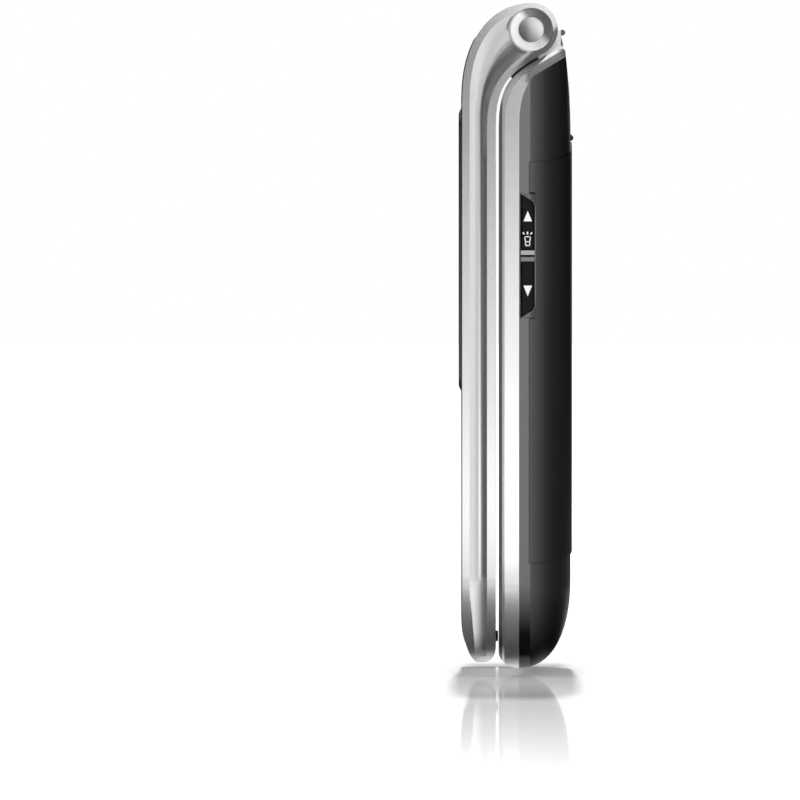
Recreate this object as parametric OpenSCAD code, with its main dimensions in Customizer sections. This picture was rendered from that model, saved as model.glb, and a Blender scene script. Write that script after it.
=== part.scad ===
// Clamshell mobile phone, closed and standing on its lower edge with the hinge at the top.
// X runs across the width, the front of the lid faces -Y, and +Z runs up the length.
// The origin lies under the middle of the phone, at its lowest point. Millimetres.

/* [Overall] */
// Width of the phone
width = 56; // [54:0.5:62]
// Height of the hinge axis above the lower edge
hinge_height = 108.7; // [106:0.1:116]
// Thickness of the base, from its key side to its back
base_t = 12.2; // [12:0.1:14]
// Thickness of the lid's silver shell
lid_t = 5.7; // [5.6:0.1:7]
// Gap between the closed lid and the base
lid_gap = 0.5; // [0.35:0.05:0.7]
// Radius of the rounded lower corners, seen from the front
corner_r = 15; // [10:0.5:18]
// Height of the lid's lower edge above the base's
lid_lift = 1; // [0.5:0.1:2.5]

/* [Hinge] */
// Radius of the hinge barrels
barrel_r = 4.5; // [4.2:0.1:4.8]
// Distance of the hinge axis from the back of the base
hinge_setback = 6.7; // [6.5:0.1:7]
// Width of each of the lid's two arms
arm_w = 9.6; // [8.5:0.1:11]
// Gap between an arm and the base's centre knuckle
arm_gap = 0.3; // [0.2:0.05:0.5]
// Slope of the arm where it leaves the barrel, in degrees
arm_slope = 30; // [26:1:34]
// Outer radius of the bright ring in each barrel end
ring_r = 3.6; // [3.4:0.05:3.7]
// Radius of the domed cap inside the ring
cap_r = 2.1; // [1.8:0.05:2.3]
// Radius of the spring unit's barrel
spring_unit_r = 2.9; // [2.7:0.05:3]
// Radius of the steel pin on the other side
pin_r = 1.5; // [1.2:0.05:1.8]
// Running clearance of a shaft in its bore
running = 0.05; // [0.02:0.01:0.08]

/* [Lid] */
// Width of the rail along the lid's inner edge
rail_w = 1.5; // [1.2:0.1:1.9]
// Width of the band along the lid's front edge
band_w = 1.3; // [1:0.1:1.6]
// Depth of the scooped side between rail and band, as a share of its width
scoop_ratio = 0.17; // [0.1:0.01:0.2]
// Height by which the black front panel stands proud of the shell
panel_rise = 0.17; // [0.05:0.01:0.2]
// Thickness of the black front panel
panel_t = 0.8; // [0.7:0.05:0.9]
// Silver margin on each side of the front panel
panel_margin = 2.6; // [2.2:0.1:4]
// Height by which the outer window stands proud of the front panel
window_rise = 0.45; // [0.2:0.05:0.6]
// Width of the outer window
window_w = 40; // [34:0.5:42]
// Length of the outer window
window_len = 48.1; // [40:0.1:54]

/* [Base] */
// Width of the chamfer around the key side
edge_chamfer = 0.95; // [0.6:0.05:1.1]
// Width of the silver band, from the key side to the black shell
silver_w = 3.45; // [3.3:0.05:3.8]
// Wall of the base shells
wall = 1.5; // [1.3:0.1:1.8]
// Width of the battery door's rounded sides, seen from the back
side_round = 9; // [7:0.5:11]
// Wall of the battery door
door_t = 1; // [0.8:0.05:1.1]
// Height by which the battery door stands proud of the back shell
door_rise = 0.25; // [0.1:0.05:0.4]
// Gap around the battery door
door_gap = 0.2; // [0.15:0.01:0.3]
// Height of the door's lower edge at its sides
door_low = 18.5; // [17:0.1:20]
// Distance of the door's upper edge, at its sides, below the hinge axis
door_drop = 22.5; // [21:0.1:25]
// Rise of both door edges towards the middle
door_bow = 2.2; // [1:0.1:3]
// Thickness of the battery
battery_t = 4.6; // [4:0.1:4.7]
// Width of the battery
battery_w = 36; // [32:0.5:40]
// Length of the battery
battery_len = 49; // [44:0.5:51]

/* [Keys] */
// Thickness of the black key plate
plate_t = 1; // [0.8:0.05:1.1]
// Silver margin on each side of the key plate
plate_margin = 3.5; // [3.3:0.1:5]
// Travel of the keypad keys
key_travel = 0.3; // [0.2:0.05:0.35]
// Clearance around each keypad key
key_play = 0.2; // [0.15:0.05:0.3]
// Gap between neighbouring number keys
key_gap = 1.5; // [1.4:0.1:2.2]
// Gap between neighbouring rows of number keys
row_gap = 2; // [1.4:0.1:2.6]
// Height of a soft key, call key or end key
corner_key_h = 7.6; // [6.5:0.1:8]
// Outer radius of the four-way key
nav_r = 9.4; // [8.5:0.1:9.6]
// Radius of the OK key
ok_r = 4.4; // [3.8:0.1:5]
// Travel of the side keys
side_travel = 0.25; // [0.15:0.05:0.3]
// Height of the side keys' frame
side_len = 20.9; // [19:0.1:22]
// Width of the side keys' frame
side_w = 2.4; // [2.2:0.05:2.6]
// Height of the side keys' middle above the lower edge
side_mid = 70.4; // [68:0.1:71]

/* [Sockets] */
// Radius of the headphone socket's bore
jack_r = 1.8; // [1.75:0.05:1.85]
// Depth of the headphone socket's bore
jack_depth = 14; // [12:0.5:14.5]
// Distance of the headphone socket below the hinge axis
jack_drop = 29.1; // [28:0.1:30]
// Radius of the rest studs on the back
stud_r = 0.5; // [0.4:0.05:0.6]

/* [Hidden] */

fit = 0.05;          // space around a piece that is glued or snapped into its seat
curve_n = 14;        // steps along each profile curve
arc_n = 6;           // steps around each small rounded corner
hw = width / 2;

// Depths: each face's place along Y, from the window at the front to the studs at the back.
depth = window_rise + panel_rise + lid_t + lid_gap + base_t + door_rise + stud_r / 2;
window_face = -depth / 2;
panel_face = window_face + window_rise;
lid_front = panel_face + panel_rise;
lid_back = lid_front + lid_t;
key_face = lid_back + lid_gap;
base_back = key_face + base_t;
door_back = base_back + door_rise;
seam_y = key_face + silver_w;
hinge_y = base_back - hinge_setback;
hinge_z = hinge_height;
top_z = hinge_z + barrel_r;
door_high = hinge_z - door_drop;
jack_z = hinge_z - jack_drop;

// The closed lid's arms curve from the barrel into the flat lid over these lengths.
arm_drop = 16.2;
arm_pull = 5.2;
arm_rise = 8;
shoulder_pull = 5.9;
shoulder_start = 0.5;
shoulder_drop = 11.7;
flat_top = hinge_z - arm_drop;

function bezier(a, b, c, d) = [for (i = [0:curve_n]) let (t = i / curve_n, u = 1 - t)
    u * u * u * a + 3 * u * u * t * b + 3 * u * t * t * c + t * t * t * d];
function reversed(p) = [for (i = [len(p) - 1:-1:0]) p[i]];
function arc(c, r, a0, a1, n) = [for (i = [0:n]) let (a = a0 + (a1 - a0) * i / n)
    c + r * [cos(a), sin(a)]];
// Left-hand unit normal of an open path at point i, and the path moved by d along it
function normal_at(p, i) = let (t = p[min(i + 1, len(p) - 1)] - p[max(i - 1, 0)])
    [-t[1], t[0]] / norm(t);
function inset(p, d) = [for (i = [0:len(p) - 1]) p[i] + d * normal_at(p, i)];
function rounded(w, h, r) = [for (q = [[1, 1, 0], [-1, 1, 90], [-1, -1, 180], [1, -1, 270]])
    each arc([q[0] * (w / 2 - r), q[1] * (h / 2 - r)], r, q[2], q[2] + 90, arc_n)];

// Side profiles, as [y, z] paths that run from the top, down the front and round the bottom.
function shoulder(d) = inset(bezier([hinge_y, top_z], [hinge_y - shoulder_pull, top_z],
    [lid_front, hinge_z - shoulder_start], [lid_front, hinge_z - shoulder_drop]), d);
lid_low_y = lid_back - 2.8;
function lid_toe(d) = inset(concat(
    bezier([lid_front, lid_lift + 8.2], [lid_front, lid_lift + 3.9],
        [lid_low_y - 1.4, lid_lift], [lid_low_y, lid_lift])), d);
lid_toe_inner = bezier([lid_low_y, lid_lift], [lid_low_y + 1.8, lid_lift],
    [lid_back, lid_lift + 1], [lid_back, lid_lift + 2.9]);
// The arm's underside, moved by o from the lid towards the base
function arm_start(o) = [hinge_y + (barrel_r + o) * sin(arm_slope),
    hinge_z - (barrel_r + o) * cos(arm_slope)];
function arm_curve(o) = bezier(arm_start(o),
    arm_start(o) - arm_pull * [cos(arm_slope), sin(arm_slope)],
    [lid_back + o, flat_top + arm_rise], [lid_back + o, flat_top]);
lid_profile = concat(shoulder(0), lid_toe(0), lid_toe_inner, reversed(arm_curve(0)),
    arc([hinge_y, hinge_z], barrel_r, arm_slope - 90, 90, 2 * curve_n));

ledge_z = hinge_z - 3.3;
lean = 0.9;           // how far the back leans forward at the top
lean_z = hinge_z - 18.7;
base_low_y = seam_y + 0.1;
ledge_y = arm_start(lid_gap)[0] + (ledge_z - arm_start(lid_gap)[1]) / tan(arm_slope);
base_top = concat([[base_back - lean - 0.2, ledge_z], [ledge_y, ledge_z]], arm_curve(lid_gap));
base_toe = concat(
    bezier([key_face, 3], [key_face, 1.4], [base_low_y - 1.6, 0], [base_low_y, 0]),
    bezier([base_low_y, 0], [base_low_y + 4.1, 0], [base_back, 3.6], [base_back, 15.5]));
base_rear = bezier([base_back, lean_z], [base_back, lean_z + 6],
    [base_back - lean / 2, ledge_z - 4.5], [base_back - lean, ledge_z - 0.4]);
base_profile = concat(base_top, base_toe, base_rear);

// The seam between the silver front shell and the black back shell
seam_rear = [base_back - lean + 0.3, ledge_z - 0.9];
seam_pull = [3.5, 1.8];
seam_curve = bezier(seam_rear, seam_rear - seam_pull,
    [seam_y, flat_top + 8.7], [seam_y, flat_top + 0.5]);
seam_line = concat([seam_rear + seam_pull], seam_curve, [[seam_y, -1]]);

// The centre knuckle fills the relief in the lid and carries the stop ridge.
knuckle_hw = hw - arm_w - arm_gap;
hub_r = hinge_y - lid_back - 0.1;
relief_r = hub_r + 0.3;
ridge_r = 0.5;
ridge = [hinge_y + hub_r - ridge_r - 0.1, hinge_z - 0.5];

// Layers under the key plate, counted from the key side towards the back
plate_back = key_face + plate_t;
flange_t = 0.5;
flange_face = plate_back + 0.2;
front_wall_back = flange_face + flange_t + 0.1;
mat_face = flange_face + flange_t + key_travel + fit;
mat_t = 0.6;
board_face = mat_face + mat_t;
board_t = 0.9;
board_back = board_face + board_t;
can_t = 1.3;

// Layers under the battery door, counted from the back towards the keys
deck_back = door_back - door_t - door_gap;
battery_back = deck_back - 0.1;
battery_face = battery_back - battery_t;
bay_floor = battery_face - 0.1;
bay_floor_t = 0.8;
door_side_y = seam_y + 1.85;

// Places along the length
plate_low = 7.5;
plate_high = flat_top - 4.5;
plate_hw = hw - plate_margin;
plate_corner = 9;
bay_low = 23.5;
bay_play = 0.4;
bay_high = bay_low + battery_len + 2 * bay_play;
cavity_low = 4.2;
cavity_high = flat_top + 1.5;
board_low = cavity_low + 1;
board_high = cavity_high - 0.5;
board_hw = hw - wall - 0.6;
rear_room_back = deck_back - 0.8;  // inner face of the back wall above the battery bay
rear_room_high = ledge_z - 4;
rear_room_hw = hw - side_round - 1.5;

// Keypad
key_edge = 2.4;         // from the key plate's side to the outer keys
key_w = (2 * plate_hw - 2 * key_edge - 2 * key_gap) / 3;
key_r = 2.2;
key_top = key_face + 0.05;
nav_margin = 7.1;       // from the four-way key to the plate's upper edge
keypad_low = plate_low + 4.8;
keypad_break = 3.6;     // from the number keys to the call and end keys
nav_z = plate_high - nav_margin - nav_r;
corner_gap = 2.6;       // from the four-way key to the keys in its corners
corner_key_w = plate_hw - key_edge - nav_r - corner_gap;
corner_key_x = plate_hw - key_edge - corner_key_w / 2;
corner_key_dz = 8.2;
keypad_high = nav_z - corner_key_dz - corner_key_h / 2 - keypad_break;
key_h = (keypad_high - keypad_low - 3 * row_gap) / 4;
row_pitch = key_h + row_gap;
row_low = keypad_low + key_h / 2;
DIGITS = [["key_star", "key_0", "key_hash"], ["key_7", "key_8", "key_9"],
    ["key_4", "key_5", "key_6"], ["key_1", "key_2", "key_3"]];
CORNER_KEYS = [["call_key", -1, -1], ["end_key", 1, -1],
    ["soft_key_left", -1, 1], ["soft_key_right", 1, 1]];

// Side keys
side_front = seam_y + 0.24;
side_back = side_front + side_w;
side_rim = 0.3;
side_face = hw + 0.06;
side_foot_x = hw - wall - 1.5;    // inner end of the side keys' feet
bar_h = 0.75;
bar_gap = 0.35;
side_slot = 2 * bar_h + bar_gap + 0.3;   // height of the strip that the two bars fill

// Headphone socket
jack_y = door_side_y + 0.95;
jack_ring_r = jack_r + 0.18;
jack_inset = wall + 2.1;          // from the phone's side to the socket's body

// Screws that hold the two shells together
screw_r = 0.7;
head_r = 1.5;
post_r = 1.25;
head_back = deck_back - 3.2;

// Lid layers, counted from its inner face towards the front
frame_t = 1;
main_window_t = 0.8;
main_display_t = 1.4;
lid_board_t = 0.5;
outer_display_t = 1.2;
lid_wall = 0.75;
lid_cavity_face = lid_front + panel_t + lid_wall;
lid_side_wall = 3.2;
lid_cavity_hw = hw - lid_side_wall;
frame_hw = hw - 1.7;
frame_low = lid_lift + 5.6;
frame_high = flat_top - 1;
main_window_w = 2 * frame_hw - 6;
main_window_low = frame_low + 9.8;
main_window_high = frame_high - 5;
main_window_mid = (main_window_low + main_window_high) / 2;
main_window_len = main_window_high - main_window_low;
window_high = hinge_z - 13.3;
window_mid = window_high - window_len / 2;
panel_hw = hw - panel_margin;
panel_low = lid_lift + 3.4;
panel_high = hinge_z - 1.2;

// An outline of [y, z] points, pushed out along X from x0 to x1
module across(outline, x0, x1) {
    translate([x0, 0, 0]) rotate([90, 0, 90]) linear_extrude(x1 - x0) polygon(outline);
}

// An outline of [x, z] points, pushed out along Y from y0 to y1
module along_y(outline, y0, y1) {
    translate([0, y1, 0]) rotate([90, 0, 0]) linear_extrude(y1 - y0) polygon(outline);
}

module rounded_block(w, h, r, x, z, y0, y1) {
    translate([x, 0, z]) along_y(rounded(w, h, r), y0, y1);
}

module box_between(a, b) {
    translate(a) cube(b - a);
}

module rod_x(r, x0, x1, y, z) {
    translate([x0, y, z]) rotate([0, 90, 0]) cylinder(h = x1 - x0, r = r, $fn = 48);
}

module rod_y(r, y0, y1, x, z) {
    translate([x, y0, z]) rotate([-90, 0, 0]) cylinder(h = y1 - y0, r = r, $fn = 48);
}

module both_sides() {
    children();
    mirror([1, 0, 0]) children();
}

// Front outline with large lower corners and small upper ones, as [x, z] points
function front_outline(w, z0, z1, low_r, high_r) = concat(
    arc([w - high_r, z1 - high_r], high_r, 0, 90, arc_n),
    arc([-w + high_r, z1 - high_r], high_r, 90, 180, arc_n),
    arc([-w + low_r, z0 + low_r], low_r, 180, 270, 2 * curve_n),
    arc([w - low_r, z0 + low_r], low_r, 270, 360, 2 * curve_n));

// A solid skinned over closed loops of equal length, with flat ends
module skin(loops) {
    m = len(loops[0]);
    n = len(loops);
    polyhedron(
        points = [for (l = loops) each l],
        faces = concat(
            [[for (j = [0:m - 1]) j]],
            [for (i = [0:n - 2], j = [0:m - 1]) let (k = (j + 1) % m)
                each [[i * m + j, (i + 1) * m + j, (i + 1) * m + k],
                    [i * m + j, (i + 1) * m + k, i * m + k]]],
            [[for (j = [m - 1:-1:0]) (n - 1) * m + j]]));
}

// The same solid on both sides of the phone
module skin_both(loops) {
    skin([for (l = loops) reversed(l)]);
    skin([for (l = loops) [for (q = l) [-q[0], q[1], q[2]]]]);
}

// The lower corner of a front outline, as [x, z, normal x, normal z], from its side downwards
function corner_stations(z0, steps, last) = [for (i = [1:steps])
    let (a = last * i / steps)
    [hw - corner_r + corner_r * cos(a), z0 + corner_r - corner_r * sin(a), cos(a), -sin(a)]];

// The scoop in the lid's side follows the arm, the straight side and the lower corner.
scoop_arc = 10;
function scoop_shape(s) = 4 * s * (1 - s) * (1.35 - 0.7 * s);
function scoop_loop(r, b, n, share) = concat(
    [for (j = [0:scoop_arc]) let (s = j / scoop_arc)
        r + (b - r) * s - n * share * scoop_ratio * norm(b - r) * scoop_shape(s)],
    [b + 2 * n, r + 2 * n]);
function at_side(p) = [hw, p[0], p[1]];
rail_path = arm_curve(-rail_w);
band_path = shoulder(band_w);
toe_band = inset(concat(lid_toe(0), lid_toe_inner), band_w);
// Depth of the front band's inner edge at height z in the toe
function toe_depth(z) = lookup(z, [for (i = [curve_n:-1:0]) [toe_band[i][1], toe_band[i][0]]]);
scoop_loops = concat(
    [for (i = [0:curve_n])
        scoop_loop(at_side(rail_path[i]), at_side(band_path[i]), [1, 0, 0], 1)],
    [scoop_loop([hw, lid_back - rail_w, lid_lift + corner_r],
        [hw, toe_depth(lid_lift + corner_r), lid_lift + corner_r], [1, 0, 0], 1)],
    [for (c = corner_stations(lid_lift, 8, 66))
        scoop_loop([c[0], lid_back - rail_w, c[1]], [c[0], toe_depth(c[1]), c[1]],
            [c[2], 0, c[3]], min(1, 0.25 + (c[1] - lid_lift) / corner_r))]);

// The chamfer round the key side runs from the rear ledge, down the side and round the corner.
function chamfer_loop(p, into, out) = let (c = edge_chamfer, e = 0.6) [
    p + out * e + into * (c + e),
    p - out * (c + e) - into * e,
    p + out * e - into * e];
chamfer_loops = concat(
    [for (i = [0:len(base_top) - 1]) let (n = normal_at(base_top, i))
        chamfer_loop(at_side(base_top[i]), [0, n[0], n[1]], [1, 0, 0])],
    [chamfer_loop([hw, key_face, corner_r], [0, 1, 0], [1, 0, 0])],
    [for (c = corner_stations(0, 10, 80))
        chamfer_loop([c[0], key_face, c[1]], [0, 1, 0], [c[2], 0, c[3]])]);

// ---- Lid ----

module lid_body() {
    intersection() {
        across(lid_profile, -hw, hw);
        along_y(front_outline(hw, lid_lift, top_z + 1, corner_r, 1), -depth, depth);
    }
}

module lid_shell() {
    color("silver") difference() {
        lid_body();
        // relief for the base's centre knuckle
        rod_x(relief_r, -hw + arm_w, hw - arm_w, hinge_y, hinge_z);
        // scooped sides, kept clear of the ring's seat
        difference() {
            skin_both(scoop_loops);
            rod_x(ring_r + 0.25, -hw - 3, hw + 3, hinge_y, hinge_z);
        }
        // seats in the barrel ends, and bores for the spring unit and the pin
        both_sides() rod_x(ring_r + fit, hw - 1.2, hw + 1, hinge_y, hinge_z);
        rod_x(spring_unit_r + fit, hw - arm_w - 1, hw - 2, hinge_y, hinge_z);
        rod_x(pin_r + fit, -hw + 2, -hw + arm_w + 1, hinge_y, hinge_z);
        // pocket of the front panel
        intersection() {
            across(lid_skin(-1, panel_t), -hw, hw);
            along_y(panel_outline(fit), -depth, 0);
        }
        // room for the outer display and its opening, then the inner room and the frame's seat
        rounded_block(window_w - 3, window_len - 3, 2, 0, window_mid, lid_front, lid_back);
        rounded_block(2 * lid_cavity_hw, frame_high - frame_low - 2, 8,
            0, (frame_high + frame_low) / 2, lid_cavity_face, lid_back);
        along_y(frame_outline(fit), lid_back - frame_t, lid_back + 1);
        // seats of the two bumpers, in the rim below the frame
        both_sides() rod_y(bumper_r + fit, lid_back - bumper_seat, lid_back + 1,
            bumper_x, bumper_z);
    }
}

// A layer of the lid's front, between d0 and d1 under the silver surface
function lid_skin(d0, d1) = let (a = concat(shoulder(d0), lid_toe(d0)),
    b = concat(shoulder(d1), lid_toe(d1))) concat(a, reversed(b));
function panel_outline(g) = front_outline(panel_hw + g, panel_low - g, panel_high + g,
    corner_r - panel_margin, 5);
function frame_outline(g) = front_outline(frame_hw + g, frame_low - g, frame_high + g,
    corner_r - 4, 3);

module lid_front_panel() {
    color("black") difference() {
        intersection() {
            across(lid_skin(-panel_rise, panel_t - fit), -hw, hw);
            along_y(panel_outline(0), -depth, 0);
        }
        rounded_block(window_w + 2 * fit, window_len + 2 * fit, 3, 0, window_mid,
            window_face - 1, lid_front + 2);
    }
}

module outer_window() {
    slope = 0.9;     // length of the chamfered ends
    color("black") intersection() {
        rounded_block(window_w, window_len, 3, 0, window_mid, window_face,
            lid_front + panel_t - fit);
        across([[window_face, window_mid - window_len / 2 + slope],
            [window_face, window_high - slope],
            [panel_face - fit, window_high],
            [lid_back, window_high],
            [lid_back, window_high - window_len],
            [panel_face - fit, window_high - window_len]], -window_w, window_w);
    }
}

module outer_display() {
    face = lid_front + panel_t + fit;
    color("dimgray") rounded_block(window_w - 4, window_len - 6, 1, 0, window_mid,
        face, face + outer_display_t);
}

module lid_board() {
    back = lid_back - frame_t - main_display_t - 2 * fit;
    color("green") rounded_block(2 * lid_cavity_hw - 4, main_window_len - 4, 2,
        0, main_window_mid, back - lid_board_t, back);
}

module main_display() {
    back = lid_back - frame_t;
    color("dimgray") rounded_block(main_window_w - 2, main_window_len + 2, 1,
        0, main_window_mid, back - main_display_t, back);
}

module main_window() {
    color("black") rounded_block(main_window_w - 2 * fit, main_window_len - 2 * fit, 2.5,
        0, main_window_mid, lid_back - main_window_t - 0.1, lid_back - 0.1);
}

ear_z = frame_low + 4.5;
bumper_r = 0.8;
bumper_x = 3;
bumper_z = lid_lift + 4;
bumper_seat = 0.4;
module lid_inner_frame() {
    color("black") difference() {
        along_y(frame_outline(0), lid_back - frame_t, lid_back);
        rounded_block(main_window_w, main_window_len, 2.5, 0, main_window_mid,
            lid_back - main_window_t - 0.15, lid_back + 1);
        rounded_block(main_window_w - 5, main_window_len - 5, 1, 0, main_window_mid,
            lid_back - 2 * frame_t, lid_back + 1);
        // slots of the earpiece
        for (i = [-2:2]) rounded_block(1, 1.6, 0.45, i * 2.2, ear_z,
            lid_back - 2 * frame_t, lid_back + 1);
    }
}

module earpiece() {
    back = lid_back - frame_t;
    ear_len = 6.5;
    color("gray") rounded_block(2 * ear_len, ear_len, 2, 0, ear_z + 0.6, back - 1.8, back);
}

module lid_bumpers() {
    color("black") both_sides()
        rod_y(bumper_r, lid_back - bumper_seat, key_face - 0.1, bumper_x, bumper_z);
}

module hinge_rings() {
    color("silver") both_sides() translate([hw - 1.15, hinge_y, hinge_z]) rotate([0, 90, 0])
        rotate_extrude($fn = 72) polygon([[cap_r + fit, 0], [ring_r, 0], [ring_r, 1.2],
            [ring_r - 0.1, 1.3], [cap_r + fit, 0.6]]);
}

module hinge_caps() {
    dome_h = 0.75;   // rise of the dome above its rim
    rim = 0.75;
    dome_r = (cap_r * cap_r + dome_h * dome_h) / (2 * dome_h);
    half = asin(cap_r / dome_r);
    color("silver") both_sides() translate([hw - 1.15, hinge_y, hinge_z]) rotate([0, 90, 0])
        rotate_extrude($fn = 72) polygon(concat([[0, 0], [cap_r, 0]],
            arc([0, rim + dome_h - dome_r], dome_r, 90 - half, 90, 8)));
}

// The spring unit: a fixed barrel in the base, and a follower that the right arm turns
unit_inner = hw - arm_w - arm_gap - 13.5;
shaft_r = spring_unit_r * 0.43;
module hinge_follower() {
    color("gray") {
        rod_x(spring_unit_r, hw - arm_w + fit, hw - 2.2, hinge_y, hinge_z);
        rod_x(shaft_r, knuckle_hw - 4.4, hw - arm_w + 1, hinge_y, hinge_z);
    }
}

module hinge_pin() {
    color("gray") rod_x(pin_r, -hw + 2.1, -knuckle_hw + 9, hinge_y, hinge_z);
}

// ---- Base ----

// The base's cross-section seen along Z, with rounded back edges, as [x, y] points
function base_section(w, back, round_y) = concat(
    [[w, -depth], [w, round_y]],
    [for (i = [1:curve_n]) let (a = 90 * i / curve_n)
        [w - side_round + side_round * cos(a), round_y + (back - round_y) * sin(a)]],
    [for (i = [curve_n:-1:1]) let (a = 90 * i / curve_n)
        [-w + side_round - side_round * cos(a), round_y + (back - round_y) * sin(a)]],
    [[-w, round_y], [-w, -depth]]);

module base_body() {
    intersection() {
        across(base_profile, -hw, hw);
        along_y(front_outline(hw, 0, top_z + 1, corner_r, 1), -depth, depth);
        linear_extrude(top_z + 1) polygon(base_section(hw, base_back, door_side_y - 0.1));
    }
}

// The black shell's lower corners: the rounded side turns into the rounded toe on its way
// round each corner. A cut along these loops leaves that surface.
function rear_edge(a) = let (share = pow(sin(a), 2), spare = 0.03 * (1 - sin(2 * a)))
    [for (i = [0:curve_n]) let (b = 90 * i / curve_n, toe = base_toe[curve_n + 1 + i],
            side = [corner_r - side_round * (1 - cos(b)),
                door_side_y - 0.1 + (base_back - door_side_y + 0.1) * sin(b)],
            low = [max(0.2, corner_r - toe[1]), toe[0]],
            p = side * (1 - share) + low * share)
        [p[0] + spare, p[1] + spare]];
rear_loops = [for (j = [0:12]) let (a = 7.5 * j, e = rear_edge(a), n = len(e) - 1)
    [for (q = concat(reversed(e), [[corner_r + 2, e[0][1]], [corner_r + 2, base_back + 2],
            [e[n][0], base_back + 2]]))
        [hw - corner_r + q[0] * cos(a), q[1], corner_r - q[0] * sin(a)]]];

module ahead_of_seam() {
    across(concat(seam_line, [[-depth, -1], [-depth, top_z + 5],
        [seam_line[0][0], top_z + 5]]), -hw - 1, hw + 1);
}

// The centre knuckle's side profile: hub, barrel, heel and stop ridge
module knuckle() {
    heel_foot = [base_back - lean - 0.2, ledge_z - 1.5];
    intersection() {
        rod_x(hub_r, -knuckle_hw, knuckle_hw, hinge_y, hinge_z);
        across(concat(shoulder(0), [[hinge_y, 0]]), -knuckle_hw, knuckle_hw);
    }
    rod_x(barrel_r, -knuckle_hw, knuckle_hw, hinge_y, hinge_z);
    intersection() {
        across([[hinge_y, hinge_z - barrel_r + 0.5], [hinge_y, ledge_z - 3.2], heel_foot,
            heel_foot + [0, 1.5], ridge + [-0.3, -0.3], ridge + [-0.3, 0.3],
            [hinge_y + barrel_r - 1, hinge_z + 0.3]], -knuckle_hw, knuckle_hw);
        ahead_of_seam();
    }
    rod_x(ridge_r, -knuckle_hw + 0.6, knuckle_hw - 0.6, ridge[0], ridge[1]);
}

module front_shell() {
    color("silver") difference() {
        union() {
            intersection() {
                base_body();
                ahead_of_seam();
            }
            knuckle();
        }
        skin_both(chamfer_loops);
        // seat of the key plate, the opening behind it and the inner room
        along_y(plate_outline(fit), key_face - 1, plate_back);
        along_y(plate_outline(-1), key_face - 1, seam_y);
        along_y(front_outline(hw - wall, cavity_low, cavity_high, corner_r - 3, 2),
            front_wall_back, seam_y + 4);
        // bores of the spring unit and the pin
        rod_x(spring_unit_r + fit, unit_inner, knuckle_hw + 1, hinge_y, hinge_z);
        rod_x(pin_r + running, -knuckle_hw - 1, -knuckle_hw + 10, hinge_y, hinge_z);
    }
    color("silver") screw_places() difference() {
        rod_y(post_r, front_wall_back - fit, board_back + 2 * fit, 0, 0);
        rod_y(screw_r + fit, front_wall_back, board_back + 1, 0, 0);
    }
}

function plate_outline(g) = front_outline(plate_hw + g, plate_low - g, plate_high + g,
    plate_corner + g, 2);

// Screws sit in the four corners under the battery door.
module screw_places() {
    for (x = [-1, 1], z = [door_low + 4.5, door_high - 2.2])
        translate([x * (hw - wall - 2.3), 0, z]) children();
}

module back_shell() {
    room_low = bay_high + 1;
    color([0.06, 0.06, 0.06]) difference() {
        union() {
            difference() {
                base_body();
                ahead_of_seam();
                skin_both(rear_loops);
                door_space(door_gap);
            }
            deck();
        }
        // inner room in front of the battery bay, and the deeper room above it
        along_y(front_outline(hw - wall, cavity_low, cavity_high, corner_r - 3, 2),
            -depth, bay_floor - bay_floor_t);
        rounded_block(2 * rear_room_hw, rear_room_high - room_low, 2,
            0, (rear_room_high + room_low) / 2, board_face, rear_room_back);
        // the battery bay
        rounded_block(battery_w + 2 * bay_play, battery_len + 2 * bay_play, 1.5,
            0, (bay_low + bay_high) / 2, bay_floor, base_back + 1);
        for (i = [-1:1]) contact_place(i) cube([2.1, 4 * bay_floor_t, 4.2], center = true);
        // seats of the side keys' frame and of the headphone socket
        box_between([hw - wall - 0.6, side_front - fit, side_mid - side_len / 2 - fit],
            [hw + 1, side_back + fit, side_mid + side_len / 2 + fit]);
        box_between([side_foot_x - 2 * side_travel - fit, seam_y + 0.1,
                side_mid - side_len / 2 + 1.5],
            [hw - wall, side_back + 0.25, side_mid + side_len / 2 - 1.5]);
        rod_x(jack_ring_r + fit, -hw - 1, -hw + jack_inset + 0.1, jack_y, jack_z);
        box_between([-hw + jack_inset - fit, jack_y - 2.6, jack_z - 2.8],
            [-hw + jack_depth + 1.1, jack_y + 2.3, jack_z + 2.8]);
        // openings of the camera, the torch and the loudspeaker
        rod_y(camera_r + fit, 0, base_back + 1, 0, camera_z);
        rod_y(lamp_r + fit, 0, base_back + 1, lamp_x, camera_z);
        for (i = [-3:3]) rounded_block(0.8, 4, 0.35, speaker_x + i * speaker_w / 8, camera_z,
            rear_room_back - 1, base_back + 1);
        // recesses of the screws and the mouth of the charging socket
        screw_places() rod_y(head_r + 0.2, head_back - 1, base_back + 1, 0, 0);
        screw_places() rod_y(screw_r + 0.1, 0, base_back + 1, 0, 0);
        usb_mouth();
        both_sides() rod_y(stud_r - 0.1, rear_room_back + 0.4, base_back + 1, stud_x, stud_z);
    }
}

// The space that the battery door takes, grown by g at its edges
module door_space(g) {
    difference() {
        along_y(door_outline(g), door_side_y - g, base_back + 3);
        linear_extrude(top_z) polygon(base_section(hw - door_t - door_gap,
            deck_back, door_side_y - 0.1));
    }
}

// The deck under the battery door is part of the black back shell.
module deck() {
    intersection() {
        along_y(door_outline(door_gap), door_side_y - door_gap - 0.1, deck_back);
        linear_extrude(top_z) polygon(base_section(hw - door_t - door_gap,
            deck_back, door_side_y - 0.1));
        across(base_profile, -hw, hw);
    }
}

// The door's outline seen from the back, with both ends bowed upwards in the middle
function bowed(z, x0, x1, g) = [for (i = [0:curve_n]) let (x = x0 + (x1 - x0) * i / curve_n)
    [x, z + (door_bow + 1) * (1 - pow(x / hw, 2)) + g]];
function door_outline(g) = concat(bowed(door_high, hw + 1, -hw - 1, g),
    bowed(door_low, -hw - 1, hw + 1, -g));

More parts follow.
